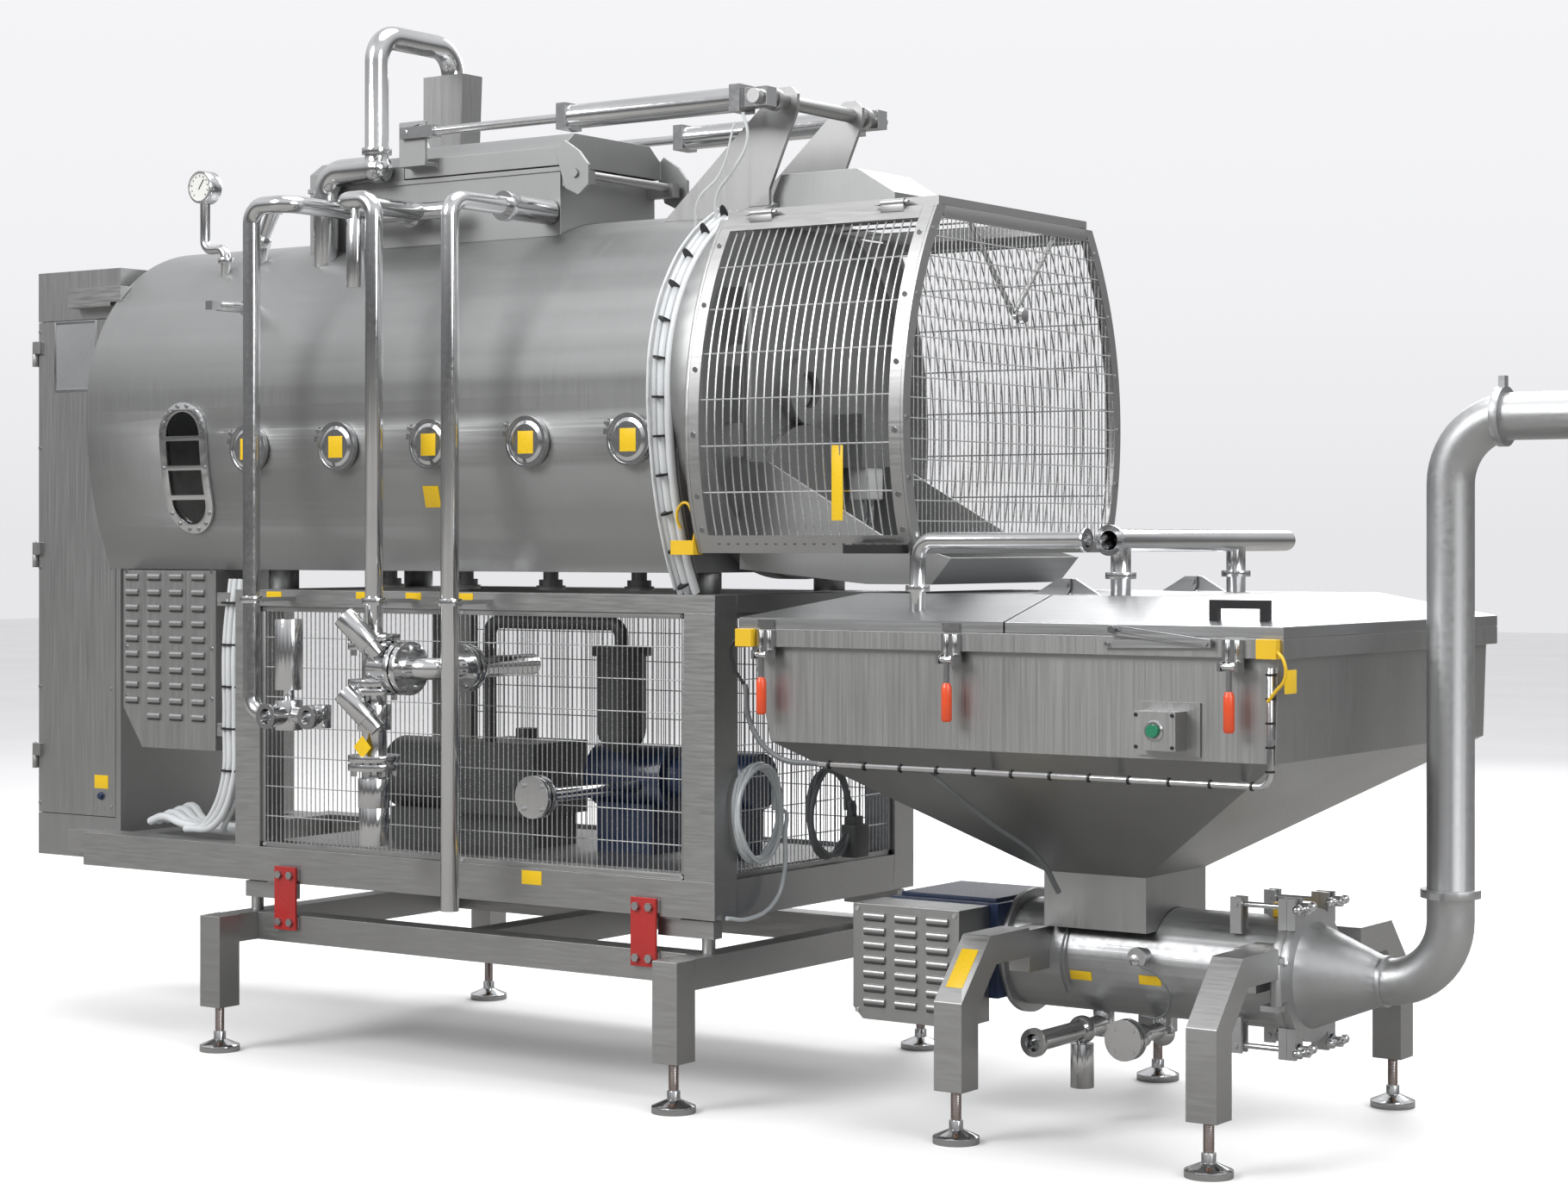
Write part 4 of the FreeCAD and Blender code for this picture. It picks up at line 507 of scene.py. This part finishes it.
# %% Wires along a path
wires, start, end = new_tree("wires", [("Copies", "Int"), ("Step", "Vector"), ("Crossings", "Int"),
                                       ("Crossing length", "Vector"), ("Wire radius", "Float"),
                                       ("Finish", "Material")])
wire = wires.nodes.new("GeometryNodeMeshToCurve")
row = wires.nodes.new("GeometryNodeMeshLine")
row.mode = "OFFSET"
copies = wires.nodes.new("GeometryNodeInstanceOnPoints")
marks = wires.nodes.new("GeometryNodeCurveToPoints")
across = wires.nodes.new("GeometryNodeCurvePrimitiveLine")
crossing = wires.nodes.new("GeometryNodeInstanceOnPoints")
both = wires.nodes.new("GeometryNodeJoinGeometry")
real = wires.nodes.new("GeometryNodeRealizeInstances")
ring = wires.nodes.new("GeometryNodeCurvePrimitiveCircle")
ring.inputs["Resolution"].default_value = 6
sweep = wires.nodes.new("GeometryNodeCurveToMesh")
sweep.inputs["Fill Caps"].default_value = True
real2 = wires.nodes.new("GeometryNodeRealizeInstances")
paint = wires.nodes.new("GeometryNodeSetMaterial")
join_up(wires, (start.outputs["Geometry"], wire.inputs[0]), (start.outputs["Copies"], row.inputs["Count"]),
        (start.outputs["Step"], row.inputs["Offset"]), (row.outputs[0], copies.inputs["Points"]),
        (wire.outputs[0], copies.inputs["Instance"]), (wire.outputs[0], marks.inputs[0]),
        (start.outputs["Crossings"], marks.inputs["Count"]),
        (marks.outputs["Points"], crossing.inputs["Points"]),
        (start.outputs["Crossing length"], across.inputs["End"]),
        (across.outputs[0], crossing.inputs["Instance"]), (copies.outputs[0], both.inputs[0]),
        (crossing.outputs[0], both.inputs[0]), (both.outputs[0], real.inputs[0]),
        (real.outputs[0], sweep.inputs["Curve"]), (ring.outputs[0], sweep.inputs["Profile Curve"]),
        (start.outputs["Wire radius"], ring.inputs["Radius"]), (sweep.outputs[0], real2.inputs[0]),
        (real2.outputs[0], paint.inputs["Geometry"]), (start.outputs["Finish"], paint.inputs["Material"]),
        (paint.outputs[0], end.inputs[0]))


def mesh_field(name, path_points, copies_n, step, crossings, radius, body="machine"):
    edges = [(i, i + 1) for i in range(len(path_points) - 1)]
    whole = tuple(s * (copies_n - 1) / 1000 for s in step)
    return grown(name, wires, path_points, edges,
                 {"Copies": copies_n, "Step": tuple(s / 1000 for s in step), "Crossings": crossings,
                  "Crossing length": whole, "Wire radius": radius / 1000}, wire_steel, body)


# %% Bands round a path
bands, start, end = new_tree("bands", [("Count", "Int"), ("Stretch", "Vector"), ("Finish", "Material")])
line = bands.nodes.new("GeometryNodeMeshToCurve")
marks = bands.nodes.new("GeometryNodeCurveToPoints")
band = bands.nodes.new("GeometryNodeMeshCylinder")
band.inputs["Vertices"].default_value = 12
band.inputs["Radius"].default_value = 0.001
band.inputs["Depth"].default_value = 0.001
each = bands.nodes.new("GeometryNodeInstanceOnPoints")
real = bands.nodes.new("GeometryNodeRealizeInstances")
paint = bands.nodes.new("GeometryNodeSetMaterial")
join_up(bands, (start.outputs["Geometry"], line.inputs[0]), (line.outputs[0], marks.inputs[0]),
        (start.outputs["Count"], marks.inputs["Count"]), (marks.outputs["Points"], each.inputs["Points"]),
        (marks.outputs["Rotation"], each.inputs["Rotation"]), (band.outputs["Mesh"], each.inputs["Instance"]),
        (start.outputs["Stretch"], each.inputs["Scale"]), (each.outputs[0], real.inputs[0]),
        (real.outputs[0], paint.inputs["Geometry"]), (start.outputs["Finish"], paint.inputs["Material"]),
        (paint.outputs[0], end.inputs[0]))


def ties(name, path_points, count, size):
    edges = [(i, i + 1) for i in range(len(path_points) - 1)]
    return grown(name, bands, path_points, edges, {"Count": count, "Stretch": size}, tie_black)


# %% [markdown]
# ## Wire mesh of the machine frame
# Three welded meshes close the frame under the vessel: wires about 17 mm apart one way, crossed by a
# few the other way, in a thin border held by screws. The CAD part is only a pierced sheet with wide
# windows, so the real mesh stands in for it.

# %% Frame mesh
near_y = -417.0
x0, x1, z0, z1 = -1387.0, 168.0, 587.0, 1293.0
far_y = 530.0
front = mesh_field("frame_mesh_near", [(x0 + 6, near_y, z0 + 4), (x0 + 6, near_y, z1 - 4)], 90,
                   ((x1 - x0 - 12) / 89, 0, 0), 9, 1.7)
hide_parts("mesh_panels")
mesh_field("frame_mesh_far", [(x0 + 6, far_y, z0 + 4), (x0 + 6, far_y, z1 - 4)], 90,
           ((x1 - x0 - 12) / 89, 0, 0), 9, 1.7)
mesh_field("frame_mesh_end", [(254, -324, z0 + 4), (254, -324, z1 - 4)], 44, (0, 764 / 43, 0), 9, 1.7)
bm = bmesh.new()
for y in (near_y, far_y):
    for z in (z0 + 8, z1 - 8):
        add_plate(bm, ((x0 + x1) / 2, y, z), (x1 - x0 - 1, 4, 15), 0.8)
    for x in (x0 + 8, x1 - 8):
        add_plate(bm, (x, y, (z0 + z1) / 2), (15, 4, z1 - z0 - 1), 0.8)
for z in (z0 + 8, z1 - 8):
    add_plate(bm, (254, 58, z), (4, 770, 15), 0.8)
for y in (-320, 436):
    add_plate(bm, (254, y, (z0 + z1) / 2), (4, 15, z1 - z0 - 1), 0.8)
from_bmesh("frame_mesh_borders", bm, satin_frame)
dots("frame_mesh_screws", [(x, near_y - 3, z) for x in (x0 + 12, (x0 + x1) / 2, x1 - 12)
                           for z in (z0 + 8, z1 - 8)], (0, -1, 0), 6, 4, polished, 6)

# %% [markdown]
# ## Guard round the discharge door
# The near and far panels are bent round upright arcs, and the end panel is cut to the same lens
# shape. The near one swings up on two knuckles, so its strips, wires and knuckles ride on its body.

# %% Guard shape
arc_back, arc_z, arc_r = 430.0, 1790.0, 992.0
low_z, high_z = 1452.0, 2334.0
left_x, right_x = 237.0, 893.0
strip = 34.0
rim = 30


def arc_point(x, z, side=-1, inset=0.0):
    # a point of the guard's curved side; side is -1 near and 1 far
    depth = math.sqrt((arc_r - inset) ** 2 - (z - arc_z) ** 2)
    return (x, mid_y + side * (depth - arc_back), z)


def skin(bm, rows):
    # closes a row of four-cornered sections into a bar
    for a, b in zip(rows, rows[1:]):
        for i in range(4):
            bm.faces.new((a[i], a[(i + 1) % 4], b[(i + 1) % 4], b[i]))
    bm.faces.new(rows[0])
    bm.faces.new(rows[-1])


def arc_strip(bm, xa, xb, za, zb, side, thick, parts=16):
    rows = []
    for i in range(parts + 1):
        z = za + (zb - za) * i / parts
        rows.append([bm.verts.new(Vector(arc_point(x, z, side, t)) / 1000)
                     for x, t in ((xa, 0), (xb, 0), (xb, thick), (xa, thick))])
    skin(bm, rows)


def arc_path(x, za, zb, side, inset, parts=18):
    return [arc_point(x, za + (zb - za) * i / parts, side, inset) for i in range(parts + 1)]


# %% Curved panels
for side, name, body in ((-1, "guard_near", "guard"), (1, "guard_far", "machine")):
    bm = bmesh.new()
    for xa in (left_x, right_x - strip):
        arc_strip(bm, xa, xa + strip, low_z, high_z, side, 4)
    arc_strip(bm, left_x + strip + 0.2, right_x - strip - 0.2, low_z, low_z + 46, side, 3.6, 4)
    arc_strip(bm, left_x + strip + 0.2, right_x - strip - 0.2, high_z - strip, high_z, side, 3.6, 4)
    if side == -1:
        for x in (326, 736):
            add_turned(bm, (x, -343.65, 2345), (1, 0, 0), [(10, 0), (10, 70)], 20)
            add_plate(bm, (x + 35, -347.6, 2332), (70, 8, 22), 1)
    strips = from_bmesh(name + "_strips", bm, satin_frame, body)
    if side == -1:
        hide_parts("guard_panel")
    mesh_field(name + "_wires", arc_path(left_x + 30, low_z + 40, high_z - 28, side, 6), 24,
               ((right_x - left_x - 60) / 23, 0, 0), 8, 2.3, body)

# %% Screws and painted slot shade of the near panel
rows = [low_z + 60, 1600, 1760, 1930, 2100, 2260]
dots("guard_near_screws", [arc_point(x, z, -1, -1) for x in (left_x + 17, right_x - 17) for z in rows],
     (0, -1, 0), 7, 3.5, polished, 14, body="guard")
# The slots are black discs sunk in the bottom strip: painted shade standing for the holes.
dots("guard_near_slot_shade", [arc_point(left_x + 64 + 30 * i, low_z + 24, -1, 0.6) for i in range(19)],
     (0, -1, 0.3), 5, 3.0, black_marks_and_slot_shade, 12, (1.0, 0.45, 1), body="guard")

# %% End panel


def half_width(z):
    return math.sqrt((arc_r - rim) ** 2 - (z - arc_z) ** 2) - arc_back


def reach(y):
    # lowest and highest point of the opening at distance y from the middle
    room = (arc_r - rim) ** 2 - (abs(y) + arc_back) ** 2
    span = math.sqrt(room) if room > 0 else 0
    return max(low_z + 20, arc_z - span), min(high_z - 20, arc_z + span)


verts = []
edges = []
for i in range(53):
    y = -525 + 1050 * i / 52
    za, zb = reach(y)
    if zb - za > 60:
        verts += [(896.5, mid_y + y, za), (896.5, mid_y + y, zb)]
        edges.append((len(verts) - 2, len(verts) - 1))
for i in range(17):
    z = low_z + 30 + (high_z - low_z - 60) * i / 16
    w = half_width(z)
    verts += [(900.0, mid_y - w, z), (900.0, mid_y + w, z)]
    edges.append((len(verts) - 2, len(verts) - 1))
end_wires = grown("guard_end_wires", wires, verts, edges,
                  {"Copies": 1, "Step": (0, 0, 0), "Crossings": 1, "Crossing length": (0, 0, 0.0001),
                   "Wire radius": 0.0019}, wire_steel)
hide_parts("guard_meshes")

# %% End border, brace and its knob
bm = bmesh.new()
for side in (-1, 1):
    rows = []
    for i in range(25):
        z = low_z + (high_z - low_z) * i / 24
        outer = side * (math.sqrt(arc_r ** 2 - (z - arc_z) ** 2) - arc_back)
        inner = side * (math.sqrt((arc_r - strip) ** 2 - (z - arc_z) ** 2) - arc_back)
        rows.append([bm.verts.new(Vector((x, mid_y + y, z)) / 1000)
                     for x, y in ((894, outer), (902, outer), (902, inner), (894, inner))])
    skin(bm, rows)
for z in (low_z + 16, high_z - 16):
    w = half_width(z) - 4
    add_plate(bm, (898, mid_y, z), (7.6, 2 * w, 32), 1)
from_bmesh("guard_end_border", bm, satin_frame)
bm = bmesh.new()
add_turned(bm, (905, mid_y, 2075), (1, 0, 0), [(9, -14), (9, 0), (20, 2), (22, 10), (18, 18), (0, 20)], 24)
from_bmesh("guard_end_knob", bm, polished)
hose("guard_end_brace", [(888, -170, 2315), (888, mid_y, 2080)], 7, satin_frame)
hose("guard_end_brace_far", [(888, 287, 2315), (888, mid_y, 2080)], 7, satin_frame)
dots("guard_end_screws", [(903, mid_y + s * (half_width(z) + 14), z) for s in (-1, 1)
                          for z in (1500, 1640, 1790, 1940, 2100, 2270)], (1, 0, 0), 7, 3.5, polished, 14)

# %% [markdown]
# ## Hoses, ties and cables
# Air and signal lines leave the cabinet, run round the shell in a flat bundle and are tied about
# every 100 mm. Shorter ones drop to the interlocks, valves and lid cylinders. A coil of clear hose
# and a grey cable hang on the frame's end. All of them are drawn as fixed pieces.

# %% Ties round the hose bundle
loop = []
for i in range(24):
    a = math.radians(64 - 64 * i / 23)
    loop.append((114, mid_y - 514.5 * math.cos(a), axis_z + 514.5 * math.sin(a)))
for i in range(13):
    a = math.radians(25.5 * i / 12)
    loop.append((114, clad_y - 1114.5 * math.cos(a), clad_z - 1114.5 * math.sin(a)))
ties("bundle_ties", loop, 12, (12.5, 38, 6))
line = [(84, mid_y - 534 * math.cos(math.radians(t)), axis_z + 534 * math.sin(math.radians(t)))
        for t in (66, 50, 34, 16, 0)]
line += [(86, clad_y - 1131 * math.cos(math.radians(t)), clad_z - 1131 * math.sin(math.radians(t)))
         for t in (6, 14, 21, 26)]
hose("bundle_line", line, 4, white_hose)

# %% Air lines to the lid cylinders
hose("air_line_near", [(100, -190, 2345), (120, -214, 2420), (190, -236, 2480), (240, -240, 2560),
                       (232, -250, 2630)], 4.5, white_hose)
hose("air_line_thin", [(60, -230, 2325), (90, -262, 2400), (165, -262, 2470), (212, -262, 2600)],
     3.2, white_hose)

# %% Yellow leads of the interlocks
hose("guard_lead", [(214, -446, 1484), (222, -450, 1516), (212, -452, 1560), (192, -452, 1584),
                    (170, -452, 1572), (162, -450, 1544), (166, -440, 1516)], 4, yellow_plastic)
hose("flap_lead", [(1950, -582, 1235), (1972, -590, 1215), (1975, -588, 1175), (1945, -580, 1140),
                   (1926, -574, 1120)], 4, yellow_plastic)
hose("lid_lead", [(456, -584, 1240), (440, -590, 1215), (444, -588, 1170), (470, -578, 1120)], 4, tie_black)

# %% Coiled hose and cable on the frame's end


def coil(name, centre, radius, turns, tube_r, metal, tail):
    points = []
    for i in range(turns * 12 + 1):
        a = 2 * math.pi * i / 12
        wobble = 1 + 0.05 * math.sin(i * 1.7)
        points.append((centre[0] + 7 * i / 12, centre[1] + radius * wobble * math.cos(a),
                       centre[2] + 1.25 * radius * wobble * math.sin(a)))
    return hose(name, points + tail, tube_r, metal, steps=4)


coil("clear_coil", (276, -262, 760), 100, 4, 6, clear_hose,
     [(306, -160, 690), (304, -158, 600), (296, -190, 520), (286, -300, 482), (280, -390, 492)])
coil("grey_coil", (276, 85, 735), 96, 3, 6.5, grey_cable, [(300, 168, 760), (300, 190, 715)])
bm = bmesh.new()
add_plate(bm, (296, 196, 650), (50, 70, 92), 6)
add_plate(bm, (296, 190, 706), (36, 46, 26), 4)
from_bmesh("cable_connector", bm, grey_paint)

# %% Bundle behind the left post
for i, (x, y, r) in enumerate(((-1520, -395, 11), (-1548, -390, 11), (-1575, -382, 9), (-1504, -372, 9))):
    hose("left_riser_%d" % (i + 1),
         [(x - 250 + 40 * i, y + 40, 612), (x - 90, y + 10, 640), (x - 10, y, 760), (x, y, 950),
          (x, y, 1180), (x + 6, y + 20, 1370)], r, white_hose)
ties("left_riser_ties", [(-1536, -386, 800), (-1536, -386, 1300)], 5, (48, 22, 6))
for i in range(4):
    hose("left_floor_line_%d" % (i + 1),
         [(-1980, -300 + 34 * i, 620), (-1900, -320 + 36 * i, 640 + 8 * i),
          (-1780, -345 + 30 * i, 625), (-1600, -300 + 30 * i, 606)], 13, white_hose)

# %% [markdown]
# ## Louvres
# The two drive covers breathe through pressed louvres: a slit with a small half-round hood above it.
# Each hood is a stretched drum sunk halfway into the sheet, in rows set by the tree's host points.
# The slits are not cut: each is a thin black drum just in front of the sheet under its hood, painted
# shade for the dark gap.

# %% Louvres
cover_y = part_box("drive_cover")[0].y * 1000
dots("cover_louvres", [(-1972 + 95 * c, cover_y, 1375 - 47 * r) for c in range(4) for r in range(10)
                       if not (r == 9 and c == 0)], (1, 0, 0), 1, 1, satin_upright, 14, (10, 7, 52))
# Black drums under the hoods: painted shade for the slit openings, not real holes.
dots("cover_slit_shade", [(-1972 + 95 * c, cover_y - 3.2, 1366 - 47 * r) for c in range(4) for r in range(10)
                     if not (r == 9 and c == 0)], (1, 0, 0), 1, 1, black_marks_and_slot_shade, 8, (3, 4.4, 48))
pump_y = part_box("pump_drive_cover")[0].y * 1000
dots("pump_louvres", [(648 + 96 * c, pump_y, 508 - 37 * r) for c in range(3) for r in range(7)],
     (1, 0, 0), 1, 1, satin_upright, 14, (10, 7, 64))
# Black drums under the hoods: painted shade for the slit openings, not real holes.
dots("pump_slit_shade", [(648 + 96 * c, pump_y - 3.2, 499 - 37 * r) for c in range(3) for r in range(7)],
     (1, 0, 0), 1, 1, black_marks_and_slot_shade, 8, (3, 4.4, 60))
dots("cover_screws", [(x, cover_y - 1, z) for x in (-1998, -1632) for z in (1392, 1160, 1010)] +
     [(x, pump_y - 1, z) for x in (594, 890) for z in (526, 262)], (0, -1, 0), 6, 4, polished, 12)

# %% [markdown]
# ## Ports, window and labels
# Five clamped ports sit in a row, each with a wing nut and a plain yellow sticker. Stickers stay
# blank: only their colour and place are kept.

# %% Ports


def shell_y(z, out=0.0):
    # the near side of the vessel's cladding below its middle
    return mid_y - (math.sqrt((1100 + out) ** 2 - (z - clad_z) ** 2) - 600)


ports = [-1408 + 353 * i for i in range(5)]
port_z = 1755.0
bm = bmesh.new()
for x in ports:
    add_plate(bm, (x + 2, -461.3, port_z - 2), (54, 0.8, 62), 0.3)
for c, s in (((-1328, -428.4, 1325), (60, 1, 22)), ((-974, -428.4, 1328), (58, 1, 20)),
             ((-784, -428.4, 1328), (58, 1, 20)), ((-592, -428.4, 1328), (58, 1, 20)),
             ((-352, -428.4, 562), (70, 1, 38))):
    add_plate(bm, c, s, 0.3)
add_plate(bm, (-726, shell_y(1608) - 0.8, 1608), (58, 0.8, 62), 0.3,
          Matrix.Rotation(math.radians(12.7), 3, "X"))
add_plate(bm, (-772, -650.6, 915), (46, 0.8, 46), 0.3, Matrix.Rotation(math.radians(45), 3, "Y"))
from_bmesh("yellow_labels", bm, yellow_label)
bm = bmesh.new()
for x in ports:
    add_turned(bm, (x - 72, -445, port_z + 22), (0, 0, 1),
               [(6, -20), (6, 14), (10, 15), (10, 26), (6, 28), (6, 34)], 16)
    add_plate(bm, (x - 72, -445, port_z + 46), (34, 7, 16), 3)
from_bmesh("port_wing_nuts", bm, polished)

# %% Cabinet plate, sticker and lock
hinge_proud = 15
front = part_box("cabinet_door")[0].y * 1000 + hinge_proud
bm = bmesh.new()
for x in (-2438, -2250):
    add_plate(bm, (x, front - 1.6, 2068), (9, 3.2, 222), 1)
for z in (1961, 2175):
    add_plate(bm, (-2344, front - 1.6, z), (180, 3.2, 9), 1)
from_bmesh("cabinet_plate_frame", bm, polished, "cabinet_door")
bm = bmesh.new()
add_plate(bm, (-2344, front - 0.9, 2068), (180, 1.6, 206), 0.4)
from_bmesh("cabinet_plate", bm, grey_plate, "cabinet_door")
bm = bmesh.new()
add_plate(bm, (-2228, front - 0.5, 728), (62, 1, 42), 0.3)
from_bmesh("cabinet_label", bm, yellow_label, "cabinet_door")
bm = bmesh.new()
add_turned(bm, (-2228, front, 684), (0, -1, 0), [(13, -1), (13, 2), (10, 3), (10, 9), (8, 11), (0, 11)], 24)
from_bmesh("cabinet_lock", bm, blue_paint, "cabinet_door")
dots("cabinet_screws", [(x, front - 0.5, z) for x in (-2512, -2186) for z in (650, 1020, 1400, 1780, 2150)],
     (0, -1, 0), 6, 3, satin_level, 12, body="cabinet_door")

# %% Hopper and pump stickers
bm = bmesh.new()
add_plate(bm, (1962.8, -533, 1164), (1, 62, 54), 0.3)
for x, up in ((1262, 46.6), (1159, -13.8), (1357, -12.3)):
    a = math.radians(up)
    add_plate(bm, (x, unit_y - 140.8 * math.cos(a), housing_z + 140.8 * math.sin(a)),
              (62, 0.8, 38 if up > 0 else 24), 0.3, Matrix.Rotation(-a, 3, "X"))
add_plate(bm, (1028, -429.2, 426.5), (48, 0.8, 116), 0.3, Matrix.Rotation(math.radians(-42.2), 3, "X"))
from_bmesh("unit_labels", bm, yellow_label)
bm = bmesh.new()
add_plate(bm, (1880, -60, 1350.7), (74, 40, 0.8), 0.3)
from_bmesh("lid_label", bm, yellow_label, "flap")
bm = bmesh.new()
add_plate(bm, (700, *arc_point(700, 1630, -1, -4)[1:]), (34, 1, 190), 0.3)
from_bmesh("guard_label", bm, yellow_label, "guard")

# %% Sight window screws
window = []
for i in range(14):
    a = 2 * math.pi * i / 14
    dz = 98 * (1 if math.sin(a) > 0.01 else -1 if math.sin(a) < -0.01 else 0)
    window.append((-1689 + 88 * math.cos(a), 1702 + dz + 88 * math.sin(a)))
dots("window_screws", [(x, shell_y(z, 9), z) for x, z in window], (0, -0.99, -0.13), 6, 4, satin_level, 14)

# %% [markdown]
# ## Fittings
# Flange bolts, a gauge dial, probes and foot threads: small turned and hexagonal pieces tell the eye
# how big the machine is.

# %% Flange bolts
stack_x, stack_y = -783.0, -591.65


def bolt_ring(centre, radius, count, across):
    # bolts round a flange; across names the two axes of its face, 0 for X to 2 for Z
    points = []
    for i in range(count):
        a = 2 * math.pi * (i + 0.5) / count
        spot = list(centre)
        spot[across[0]] += radius * math.cos(a)
        spot[across[1]] += radius * math.sin(a)
        points.append(tuple(spot))
    return points


dots("stack_bolts", [p for z in (1194, 1070, 860) for p in bolt_ring((stack_x, stack_y, z), 60, 8, (0, 1))],
     (0, 0, 1), 8, 54, polished, 6)
for name, centre, radius, count, across, way, size, long in (
        ("stack_side_bolts", (stack_x + 118, stack_y, 1133), 60, 8, (1, 2), (1, 0, 0), 8, 58),
        ("run_bolts", (-561, -466, 1133), 54, 8, (0, 2), (0, 1, 0), 7, 54),
        ("drain_bolts", (-282, -495, 791), 44, 4, (0, 2), (0, 1, 0), 8, 58),
        ("sample_bolts", (1321, -122, 236), 38, 4, (0, 2), (0, 1, 0), 7, 44)):
    dots(name, bolt_ring(centre, radius, count, across), way, size, long, polished, 6)

# %% Gauge dial
bm = bmesh.new()
add_turned(bm, (-1804, -262, 2567), (0, -1, 0), [(50, -2), (50, 2), (47, 6), (43, 6), (42, 1.5)], 40)
from_bmesh("gauge_bezel", bm, polished)
bm = bmesh.new()
add_turned(bm, (-1804, -263.6, 2567), (0, -1, 0), [(42.5, 0), (42.5, 1.0), (0, 1.2)], 40)
from_bmesh("gauge_face", bm, dial_white)
marks = [(-1804 + 34 * math.cos(math.radians(225 - 27 * i)), -265,
          2567 + 34 * math.sin(math.radians(225 - 27 * i))) for i in range(11)]
dots("gauge_marks", marks, (0, -1, 0), 2.2, 1.2, black_marks_and_slot_shade, 8)
hose("gauge_hand", [(-1808, -266, 2560), (-1786, -266, 2590)], 1.2, black_marks_and_slot_shade)

# %% Junction box beside the door
bm = bmesh.new()
add_plate(bm, (255, 312, 1655), (56, 84, 112), 5)
add_plate(bm, (285, 312, 1655), (5, 80, 108), 3)
from_bmesh("junction_box", bm, box_grey)
for i in range(2):
    hose("junction_lead_%d" % (i + 1),
         [(256, 296 + 30 * i, 1599), (258, 296 + 30 * i, 1560), (250, 300 + 26 * i, 1510),
          (232, 300 + 20 * i, 1470)], 5, grey_cable)

# %% Satin jacket of the vent hood
bm = bmesh.new()
outline = ((-1206.8, 2892.8), (-1049.2, 2892.8), (-1061.2, 2622.6), (-1150.4, 2622.6), (-1206.8, 2729.8))
rims = [[bm.verts.new(Vector((x, y, z)) / 1000) for x, z in outline] for y in (87.5, 177.2)]
for i in range(5):
    j = (i + 1) % 5
    if i != 2:
        bm.faces.new((rims[0][i], rims[0][j], rims[1][j], rims[1][i]))
bm.faces.new(rims[0])
bm.faces.new(rims[1])
from_bmesh("hood_jacket", bm, satin_upright, smooth=False)

# %% Probe and leads of the pump housing
bm = bmesh.new()
a = math.radians(7.5)
add_turned(bm, (1334, unit_y - 139 * math.cos(a), housing_z + 139 * math.sin(a)),
           (0, -math.cos(a), math.sin(a)),
           [(17, -2), (17, 8), (12, 9), (12, 30), (15, 31), (15, 44), (11, 46), (0, 46)], 24)
from_bmesh("housing_probe", bm, polished)
hose("probe_lead", [(1346, -108, 424), (1400, -104, 400), (1425, -88, 340), (1390, -70, 292),
                    (1330, -60, 288)], 3, grey_cable)
hose("housing_lead", [(1126, 40, 556), (1118, -30, 520), (1112, -66, 470), (1112, -82, 420), (1114, -78, 372),
                      (1120, -62, 330)], 3.2, grey_cable)

# %% Threads of the levelling feet
threads = []
for x in (-1435, 220):
    threads += [(x, y, 60 + 3.2 * i) for y in (-541.65, 658.35) for i in range(21)]
for x in (1028, 1719):
    threads += [(x, y, 60 + 3.2 * i) for y in (-457.65, 602.35) for i in range(21)]
dots("foot_threads", threads, (0, 0, 1), 13.2, 1.7, rusty_thread, 20)

# %% Ties of the hopper conduit
rail_y = -559.65
ties("conduit_ties", [(1880, rail_y, 925), (720, rail_y, 925)], 12, (11, 11, 5))
ties("conduit_ties_up", [(1925, rail_y, 1180), (1925, rail_y, 960)], 5, (11, 11, 5))
hose("conduit_drop_left", [(692, rail_y, 925), (560, rail_y - 2, 940), (492, -572, 1010), (474, -578, 1120)],
     7, grey_cable)
hose("conduit_drop_hopper", [(1005, rail_y, 925), (1040, -520, 880), (1090, -400, 790), (1150, -260, 690),
                             (1160, -180, 600)], 7, grey_cable)

# %% Button details
bm = bmesh.new()
add_turned(bm, (1655, -608.7, 1046), (0, -1, 0), [(24, 0), (24, 2.4), (21, 5), (16.4, 5), (16.4, 0)], 36)
from_bmesh("button_collar", bm, polished)
dots("button_box_screws", [(x, -609.4, z) for x in (1608, 1702) for z in (1008, 1082)],
     (0, -1, 0), 4.5, 3, black_plastic, 12)
